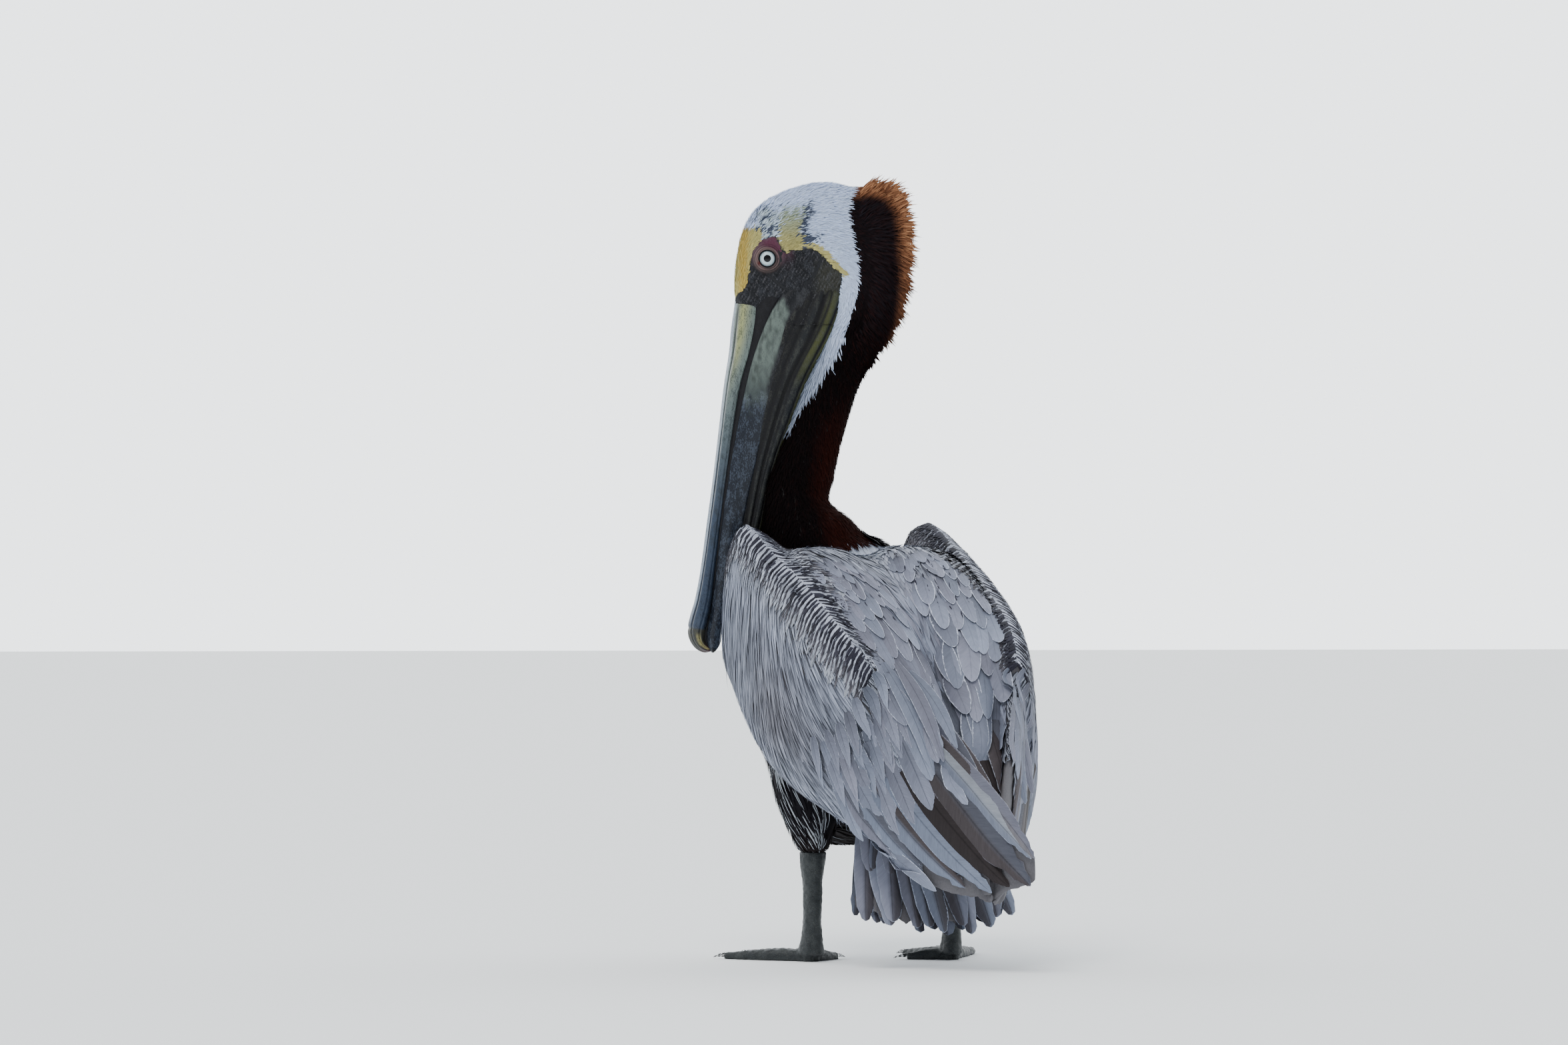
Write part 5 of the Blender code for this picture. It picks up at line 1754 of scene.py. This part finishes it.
def pouch_relief(x, v, c, along):
    """How far the pouch's skin stands out, with its long folds and fine creases."""
    folds = np.zeros_like(x)
    for where, depth, wide, drift in POUCH_FOLDS:
        centre = where + drift * (along - 0.3) + 0.02 * np.sin(along * 17 + where * 9)
        folds -= depth * bell(v, centre, wide) + 0.5 * depth * bell(v, centre, 3 * wide)
    folds *= smooth(along, 0.0, 0.1) * smooth(along, 1.0, 0.85) * lerp(1, 0.6, along)
    return folds + 0.22 * waves(5, 8, v * 16 + along * 2, along * 60 + v * 3, np.sign(c)) + 0.35


def pouch():
    """The bare throat pouch, from under the bill back to the neck, with its long folds."""
    rows, columns = 150, 128
    share = np.linspace(0, 1, rows)
    front, front_z, rear, rear_z, half = curve(POUCH, share).T
    reach = np.hypot(rear - front, rear_z - front_z) / 2
    across = unit(np.stack([rear - front, rear_z - front_z], 1))
    turn = around(columns)[None, :]
    c = np.cos(turn)
    v = squared(np.sin(turn), 2.6) * np.ones((rows, 1))
    x = squared(c, 2.6) * half[:, None]
    folds = pouch_relief(x, v, c, share[:, None])
    x = x + np.sign(c) * folds * smooth(np.abs(c), 0.0, 0.35)
    rings = rings_at((front + rear) / 2, (front_z + rear_z) / 2, across, v * reach[:, None], x)
    made, _ = closed_loft("pouch_skin", rings)
    down, v = np.broadcast_arrays(with_caps(share)[:, None], with_caps(v))
    folds = with_caps(folds)
    colour = mixed(POUCH_BLACK, POUCH_SLATE, smooth(v, -0.3, 0.3))
    olive = smooth(v, 0.36, 0.5) * smooth(down, 0.04, 0.2) * smooth(down, 0.42, 0.30)
    colour = mixed(colour, POUCH_OLIVE, np.maximum(olive, smooth(v, 0.80, 0.92)) * 0.9)
    # Painted shade in the folds: darker where the skin is creased in, on the tint and on its mottle.
    colour = mixed(colour, POUCH_BLACK, np.clip(-folds / 1.1, 0, 1))
    second = lerp(colour * 0.5, POUCH_MOTTLE, 0.45) * np.clip(1 + folds / 1.6, 0.2, 1)[..., None]
    return coloured(made, colour, second, 0.6, LEATHER)


def mouth_lining():
    """Dark skin between the upper bill and the two sides of the lower one, so that no light comes through."""
    rows, columns = 60, 24
    aft, height, _, out = curve(LOWER_BILL, np.linspace(0.02, 0.97, rows)).T
    upper = curve(UPPER_BILL, np.linspace(0, 1, 200))
    ahead = np.interp(-height, -upper[:, 1], upper[:, 0])
    turn = around(columns)[None, :]
    a = ((aft + ahead) / 2)[:, None] + ((aft - ahead)[:, None] / 2 + 1.0) * np.cos(turn)
    made, stack = closed_loft("mouth_lining", in_head(a, (out - 2.5)[:, None] * np.sin(turn), height[:, None]))
    tint = painted(POUCH_BLACK, stack.size // 3)
    return coloured(made, tint, tint * 2, 0.5, LEATHER)


# ---------------------------------------------------------------- bare face and eyes

# Millimetres: the radius of the opening between the lids, that of the eye's curve, the lids' distance from the
# middle plane, and the mesh of the bare face.
EYE_OPENING = 7.1
EYE_CURVE = 11.0
LID_SIDE = 27.4
FACE_STEP = 0.62
CRIMSON = (0.088, 0.022, 0.046)
PINK_TAN = (0.25, 0.165, 0.155)
PURPLE = (0.085, 0.050, 0.065)
OLIVE_BLACK = (0.026, 0.026, 0.018)
LID_BLACK = (0.005, 0.004, 0.006)
TEAR_RED = (0.07, 0.012, 0.012)
FACE_GRAIN = (0.070, 0.067, 0.074)
EYE_MOTTLE = (0.058, 0.062, 0.076)

POUCH_SOLID = solid_tree("pouch")


def seen_side(surface, side, a, h):
    """How far to the side a surface lies at places of the head's plane, or nan where it doesn't reach."""
    towards = Vector(-side * SIDE)
    hits = [surface.ray_cast(Vector(p), towards, 0.075)[0] for p in in_head(a, side * 60, h)]
    return np.abs(to_head([hit[:] if hit else (math.nan,) * 3 for hit in hits])[1])


def face_ground(side, a, h):
    """How far to the side the skin or the pouch lies over the face's grid, with its steps smoothed away."""
    depth = seen_side(SKIN, side, a.ravel(), h.ravel()).reshape(a.shape)
    low = (h < 622) & (a > -66)
    cheek = seen_side(POUCH_SOLID, side, a[low], h[low]) + lerp(-2.6, 0.2, smooth(h[low], 588, 606))
    depth[low] = np.fmax(depth[low], cheek)
    for _ in range(14):
        near = np.stack([np.roll(depth, k, axis) for axis in (0, 1) for k in (-1, 1)])
        depth = 0.4 * depth + 0.6 * np.where(np.isnan(near), depth, near).mean(0)
    return depth


def face_relief(a, h, r, outside, ground):
    """The bare face's surface: sunk at its edge, wrinkled and creased, with rings of lids round the eye."""
    flat = np.zeros_like(a)
    wrinkle = 0.28 * waves(5.5, 21, a, h, flat) + 0.2 * waves(3.0, 22, a, h * 0.5, flat)
    wrinkle = wrinkle + 0.12 * waves(1.7, 23, a, h, flat)
    lift = lerp(0.5, -1.6, smooth(outside, -3.0, 2.2)) + wrinkle * smooth(r, 8, 12)
    gape = a - np.interp(h, [570, 596, 612, 632], [-72, -60, -46, -38])
    lift = lift - 2.0 * bell(gape, 0, 1.3) * smooth(h, 634, 622)
    cheek = (a + 78) * 0.62 + (h - 604) * 0.78
    lift = lift - 1.3 * bell(cheek, 0, 1.2) * smooth(h, 634, 620) * smooth(h, 590, 600)
    lids = LID_SIDE + 0.9 * bell(r, 8.0, 0.8) - 0.55 * bell(r, 9.4, 0.5)
    lids = lids + 0.4 * bell(r, 10.6, 0.6) - 0.4 * bell(r, 12.0, 0.6)
    depth = lerp(ground + lift, lids + 0.25 * wrinkle, smooth(r, 17, 8.5))
    return np.where(r < EYE_OPENING, LID_SIDE - 2.0, depth)


def face_colours(a, h, r, bearing):
    """Dark bare skin, crimson over the eye and pink tan round it, with the lids' dark rings."""
    colour = mixed(FACE_DARK, OLIVE_BLACK, smooth(a, -52, -36) * smooth(h, 636, 612))
    grain = waves(1.9, 31, a, h, 0 * r) + 0.7 * waves(3.6, 32, a, h, 0 * r)
    colour = dimmed(colour, 0.6 * smooth(grain, -0.2, -1.0))
    colour = mixed(colour, FACE_GRAIN, 0.75 * smooth(grain, 0.45, 1.15) * smooth(r, 12, 17))
    colour = mixed(colour, PURPLE, smooth(r, 18, 13) * smooth(h, 616, 632) * smooth(a, -112, -98))
    tan = smooth(r, 14.5, 10.5) * lerp(0.5, 1.0, smooth(r, 11.5, 9.0))
    colour = mixed(colour, PINK_TAN, tan * lerp(1.0, 0.55, smooth(np.cos(bearing + 0.6), -0.2, 0.8)))
    red = bell(bearing, 1.15, 0.80) * smooth(r, 9.6, 11.2) * smooth(r, 27, 20)
    colour = mixed(colour, CRIMSON, np.clip(red * 1.5, 0, 1))
    rings = 0.5 + 0.5 * np.cos((r - 9.3) * 2 * math.pi / 1.9 + 0.6 * np.sin(3 * bearing))
    colour = dimmed(colour, 0.72 * rings * smooth(r, 16, 11))
    colour = mixed(LID_BLACK, colour, smooth(r, EYE_OPENING + 0.9, EYE_OPENING + 1.9))
    corner = bell(a - EYE["aft"], -7.4, 1.5) * bell(h - EYE["height"], -4.2, 1.8)
    colour = mixed(colour, TEAR_RED, np.clip(corner * 1.2, 0, 1))
    return colour, mixed(colour * 1.2, EYE_MOTTLE, 0.7 * smooth(r, 13, 18))


def face_patch(side):
    """The bare skin round the eye, on one side: dark and wrinkled, with lids that ring the eye."""
    a, h = np.meshgrid(np.arange(-123, -14, FACE_STEP), np.arange(567, 656, FACE_STEP), indexing="ij")
    from_eye = a - EYE["aft"], h - EYE["height"]
    r, bearing = np.hypot(*from_eye), np.arctan2(*from_eye[::-1])
    outside = over_face(a, h)
    depth = face_relief(a, h, r, outside, face_ground(side, a, h))
    keep = ~np.isnan(depth) & (outside < 2.2) & (r > EYE_OPENING - 1.1) & (a < -21)
    grid = grid_faces(*a.shape)
    faces = grid[keep.ravel()[grid].all(1)]
    used, faces = np.unique(faces if side > 0 else faces[:, ::-1], return_inverse=True)
    even = (EYE_OPENING + np.maximum(r - EYE_OPENING, 0)) / np.maximum(r, 0.1)
    spread_by = np.where(r < EYE_OPENING + 1.2, even, 1)
    places = in_head(EYE["aft"] + from_eye[0] * spread_by, side * depth, EYE["height"] + from_eye[1] * spread_by)
    made = mesh_object("face_" + SIDE_NAMES[side], places.reshape(-1, 3)[used], faces.reshape(-1, 4))
    return coloured(made, *face_colours(*(v.ravel()[used] for v in (a, h, r, bearing))), 0.42, LEATHER)


def eye(side):
    """A dome that meets the lids. The points' looks tell the material how far out and where round they are."""
    rings, columns = 40, 96
    r, turn = np.linspace(0, 1, rings) * (EYE_OPENING + 0.9), around(columns)
    dome = np.sqrt(EYE_CURVE**2 - r**2) - math.sqrt(EYE_CURVE**2 - EYE_OPENING**2)
    a = EYE["aft"] + r[:, None] * np.cos(turn)
    h = EYE["height"] + r[:, None] * np.sin(turn)
    grid = grid_faces(rings, columns, closed=True)
    places = in_head(a, side * (LID_SIDE + 0.1 + dome)[:, None], h).reshape(-1, 3)
    made = mesh_object("eyeball_" + SIDE_NAMES[side], places, grid if side > 0 else grid[:, ::-1])
    look = np.stack([np.repeat(r / 10, columns), np.tile(turn / 7, rings), np.zeros(rings * columns)], 1)
    put_colours(made.data, "look", look)
    made.data.materials.append(EYE_GLASS)
    return made


def eye_material():
    """A pale iris with a dark ring, and a black pupil, under a clear coat."""
    m = Nodes("eye_glass", 0.3, Coat_Weight=0.3, Coat_Roughness=0.02, Specular_IOR_Level=0.15)
    r, turn, _ = m.look()
    place = m.place()
    fibre = m.noise(place, 2600, 3.0)
    ripple = m.noise(m.combine(m.times(r, 2.0), m.times(turn, 60.0), 0.0), 1.0, 3.0)
    pale = m.mix(m.step(ripple, 0.35, 0.7), (0.62, 0.74, 0.76, 1), (0.48, 0.60, 0.64, 1))
    pale = m.mix(m.times(fibre, 0.2), pale, (0.3, 0.36, 0.4, 1))
    edge = m.plus(r, m.times(m.less(ripple, 0.5), 0.02))
    grey = m.mix(m.step(edge, 0.50, 0.66), pale, (0.16, 0.22, 0.25, 1))
    ring = m.mix(m.step(edge, 0.655, 0.69), grey, (0.010, 0.009, 0.010, 1))
    inner = m.mix(m.step(edge, 0.345, 0.325), ring, (0.09, 0.12, 0.15, 1))
    m.colour(m.mix(m.step(r, 0.325, 0.31), inner, (0.002, 0.002, 0.003, 1)))
    return m.material


# ---------------------------------------------------------------- legs, feet and claws

# Metres: the mesh of the legs, and how far their solids are swollen so that they join.
LEG_VOXEL = 0.00125
LEG_SWELL = 0.0003


def scaled_material():
    """Leathery skin in small plates, larger down the front of the leg and along the toes."""
    m = Nodes("foot_skin", 0.5, Specular_IOR_Level=0.4)
    place = m.place()
    plates = m.cell_edges(m.stretched(place, 1, 1, 1.6), 420)
    seams = m.step(plates, 0.10, 0.02)
    fine = m.noise(place, 1400, 3.0)
    broad = m.noise(place, 90, 4.0)
    colour = m.mix(m.step(broad, 0.35, 0.7), (0.016, 0.021, 0.024, 1), (0.036, 0.042, 0.044, 1))
    colour = m.mix(m.times(m.step(fine, 0.52, 0.75), 0.45), colour, (0.10, 0.11, 0.09, 1))
    m.colour(m.mix(m.times(seams, 0.7), colour, (0.010, 0.013, 0.016, 1)))
    m.rough(m.plus(0.42, m.times(fine, 0.2)))
    m.bump(m.less(m.times(fine, 0.25), seams), 0.6, 0.0007)
    return m.material


def leg(name):
    """Shank and webbed foot as one skin, without the seam of their solids."""
    made = joined("leg_" + name, ("shank_" + name, "foot_" + name), LEG_SWELL)
    modified(made, "REMESH", mode="VOXEL", voxel_size=LEG_VOXEL)
    modified(made, "SMOOTH", factor=0.5, iterations=7)
    points, normals = arrays_of(made.data)
    knots = 0.00035 * wavy(points, 0.012, 4) + 0.0002 * wavy(points, 0.005, 6)
    points = points + normals * knots[:, None]
    points[:, 2] = np.maximum(points[:, 2], ORIGIN[2])
    put_points(made.data, points)
    dress(made, FOOT)
    return made


TOES = ("inner", "middle", "outer", "back")


def claw_material():
    """Dark glossy horn with a fine grain."""
    m = Nodes("claw_horn", 0.3, Coat_Weight=0.3)
    grain = m.noise(m.place(), 500, 4.0)
    m.colour(m.mix(m.step(grain, 0.4, 0.7), (0.010, 0.011, 0.013, 1), (0.035, 0.034, 0.036, 1)))
    m.bump(grain, 0.3, 0.0004)
    return m.material


def claws(name):
    """The claws of one foot, as one smooth mesh."""
    made = joined("claws_" + name, [f"claw_{name}_{toe}" for toe in TOES])
    modified(made, "SUBSURF", levels=2)
    dress(made, CLAW)
    return made


# ---------------------------------------------------------------- the skin's own look


def skin_look():
    """The same markings under the plumage, made darker as painted shade for the gaps between feathers, so that no gap
    shows.
    """
    q = body(skin_points)
    owner = owners(skin_points)
    # Painted shade: the skin's colours are darker than the plumage's over it.
    colour = painted(np.array(WARM_GREY) * 0.5, len(q))
    head = part_of(owner, *HEAD_AND_NECK)
    colour[head] = head_colours(skin_points[head], np.random.default_rng(90)) * 0.7
    aft, _, height = to_head(skin_points)
    colour[head & (over_face(aft, height) < 0) & (height > 560)] = FACE_DARK
    trunk = part_of(owner, "trunk", *THIGHS) & (q[:, 2] < 300)
    breast = ~part_of(owner, *WINGS) & (q[:, 1] <= -55) & (q[:, 2] < 385)
    colour[trunk | breast] = BELLY
    put_colours(skin.data, "tint", colour)
    m = Nodes("skin", 0.8)
    small = m.noise(m.place(), 700, 4.0)
    m.colour(m.darkened(m.attribute("tint"), m.plus(0.7, m.times(small, 0.5))))
    m.bump(small, 0.4, 0.0006)
    dress(skin, m.material)


# ---------------------------------------------------------------- the whole bird

HORN = bare_material("bill_horn", 0.42, 0.5, 0.4, coat=0.15, grain=1300, stretch=(1, 1, 0.4))
LEATHER = bare_material("bare_skin", 0.55, 0.5, 0.5, grain=1300, stretch=(1, 1, 0.6))
FOOT = scaled_material()
CLAW = claw_material()
EYE_GLASS = eye_material()

head_and_neck()
mane()
combs()
wing_coverts()
filaments()
scapulars()
mantle()
belly()
thighs()
quill_tiers()
tertials()
tail()
skin_look()

skin.name = "pelican_skin"
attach(skin, "root")
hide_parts(*FLESH)
for piece in COAT:
    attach(piece, "root")

for piece, nodes, slot in (
    (upper_bill(), ("bill_upper", "bill_nail"), "horn"),
    (lower_bill(1), ("bill_lower_left",), "horn"),
    (lower_bill(-1), ("bill_lower_right",), "horn"),
    (pouch(), ("pouch",), "pouch"),
    (mouth_lining(), (), "pouch"),
    (face_patch(1), (), "skin"),
    (face_patch(-1), (), "skin"),
    (eye(1), ("eye_left",), "eye"),
    (eye(-1), ("eye_right",), "eye"),
    (leg("left"), ("shank_left", "foot_left"), "skin"),
    (leg("right"), ("shank_right", "foot_right"), "skin"),
    (claws("left"), tuple("claw_left_" + toe for toe in TOES), "claw"),
    (claws("right"), tuple("claw_right_" + toe for toe in TOES), "claw"),
):
    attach(piece, "root")
    if nodes:
        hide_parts(*nodes)

# ---------------------------------------------------------------- floor, light and camera

# The world's brightness in front of the bird and behind it.
SKY_FRONT = 0.39
SKY_BEHIND = 3.1
SKY_TINT = (0.93, 0.97, 1.0, 1)
FLOOR_TINT = (0.92, 0.94, 0.95, 1)
# The camera: its bearing, how far it is from the bird, its height over the floor, all in metres, its angle, and
# the middle of its picture from the bird's origin.
CAMERA_TURN = math.radians(65)
CAMERA_FAR = 4.5
CAMERA_HEIGHT = 0.288
CAMERA_ANGLE = math.radians(17.65)
AIM = (0.0668, -0.0311, 0.388)


def floor():
    """A wide pale floor that only the pictures show."""
    bm = bmesh.new()
    bmesh.ops.create_grid(bm, x_segments=2, y_segments=2, size=80)
    data = bpy.data.meshes.new("floor")
    bm.to_mesh(data)
    bm.free()
    made = new_object("floor", data)
    made.location.z = ORIGIN[2] - 0.0002
    m = Nodes("floor", 0.9, Specular_IOR_Level=0.0)
    m.colour(FLOOR_TINT)
    data.materials.append(m.material)


def sky():
    """A world that is brightest behind the bird."""
    world_sky = bpy.data.worlds.new("studio")
    world_sky.use_nodes = True
    nodes, links = world_sky.node_tree.nodes, world_sky.node_tree.links
    towards = nodes.new("ShaderNodeVectorMath")
    towards.operation = "DOT_PRODUCT"
    links.new(nodes.new("ShaderNodeTexCoord").outputs["Generated"], towards.inputs[0])
    towards.inputs[1].default_value = (-SIDE[0], -SIDE[1], 0.0)
    ramp = nodes.new("ShaderNodeMapRange")
    ramp.interpolation_type = "SMOOTHSTEP"
    links.new(towards.outputs["Value"], ramp.inputs["Value"])
    for key, value in (("From Min", -0.4), ("From Max", 0.9), ("To Min", SKY_FRONT), ("To Max", SKY_BEHIND)):
        ramp.inputs[key].default_value = value
    nodes["Background"].inputs[0].default_value = SKY_TINT
    links.new(ramp.outputs[0], nodes["Background"].inputs[1])
    bpy.context.scene.world = world_sky


def sun(name, bearing, height, strength, softness, colour):
    """A soft distant light. The bearing is measured from the camera's, towards the picture's left."""
    turn, rise = HEAD_TURN - math.radians(bearing), math.radians(height)
    data = bpy.data.lights.new(name, "SUN")
    data.energy = strength
    data.angle = math.radians(softness)
    data.color = colour
    from_way = Vector((math.cos(turn) * math.cos(rise), math.sin(turn) * math.cos(rise), math.sin(rise)))
    new_object(name, data).rotation_euler = (-from_way).to_track_quat("-Z", "Y").to_euler()


def photographer():
    """The view from behind the bird's left side, a little below its breast's height."""
    aim = Vector(ORIGIN) + Vector(AIM)
    data = bpy.data.cameras.new("camera")
    data.sensor_fit = "HORIZONTAL"
    data.angle_x = CAMERA_ANGLE
    data.clip_end = 200
    data.dof.use_dof = False
    made = new_object("camera", data)
    x, y = aim.x + CAMERA_FAR * math.cos(CAMERA_TURN), aim.y + CAMERA_FAR * math.sin(CAMERA_TURN)
    made.location = (x, y, ORIGIN[2] + CAMERA_HEIGHT)
    made.rotation_euler = (aim - made.location).to_track_quat("-Z", "Y").to_euler()
    bpy.context.scene.camera = made


floor()
sky()
sun("key", 25, 58, 1.75, 30, (1.0, 0.98, 0.95))
sun("fill", 60, 25, 0.35, 60, (0.92, 0.96, 1.0))
photographer()
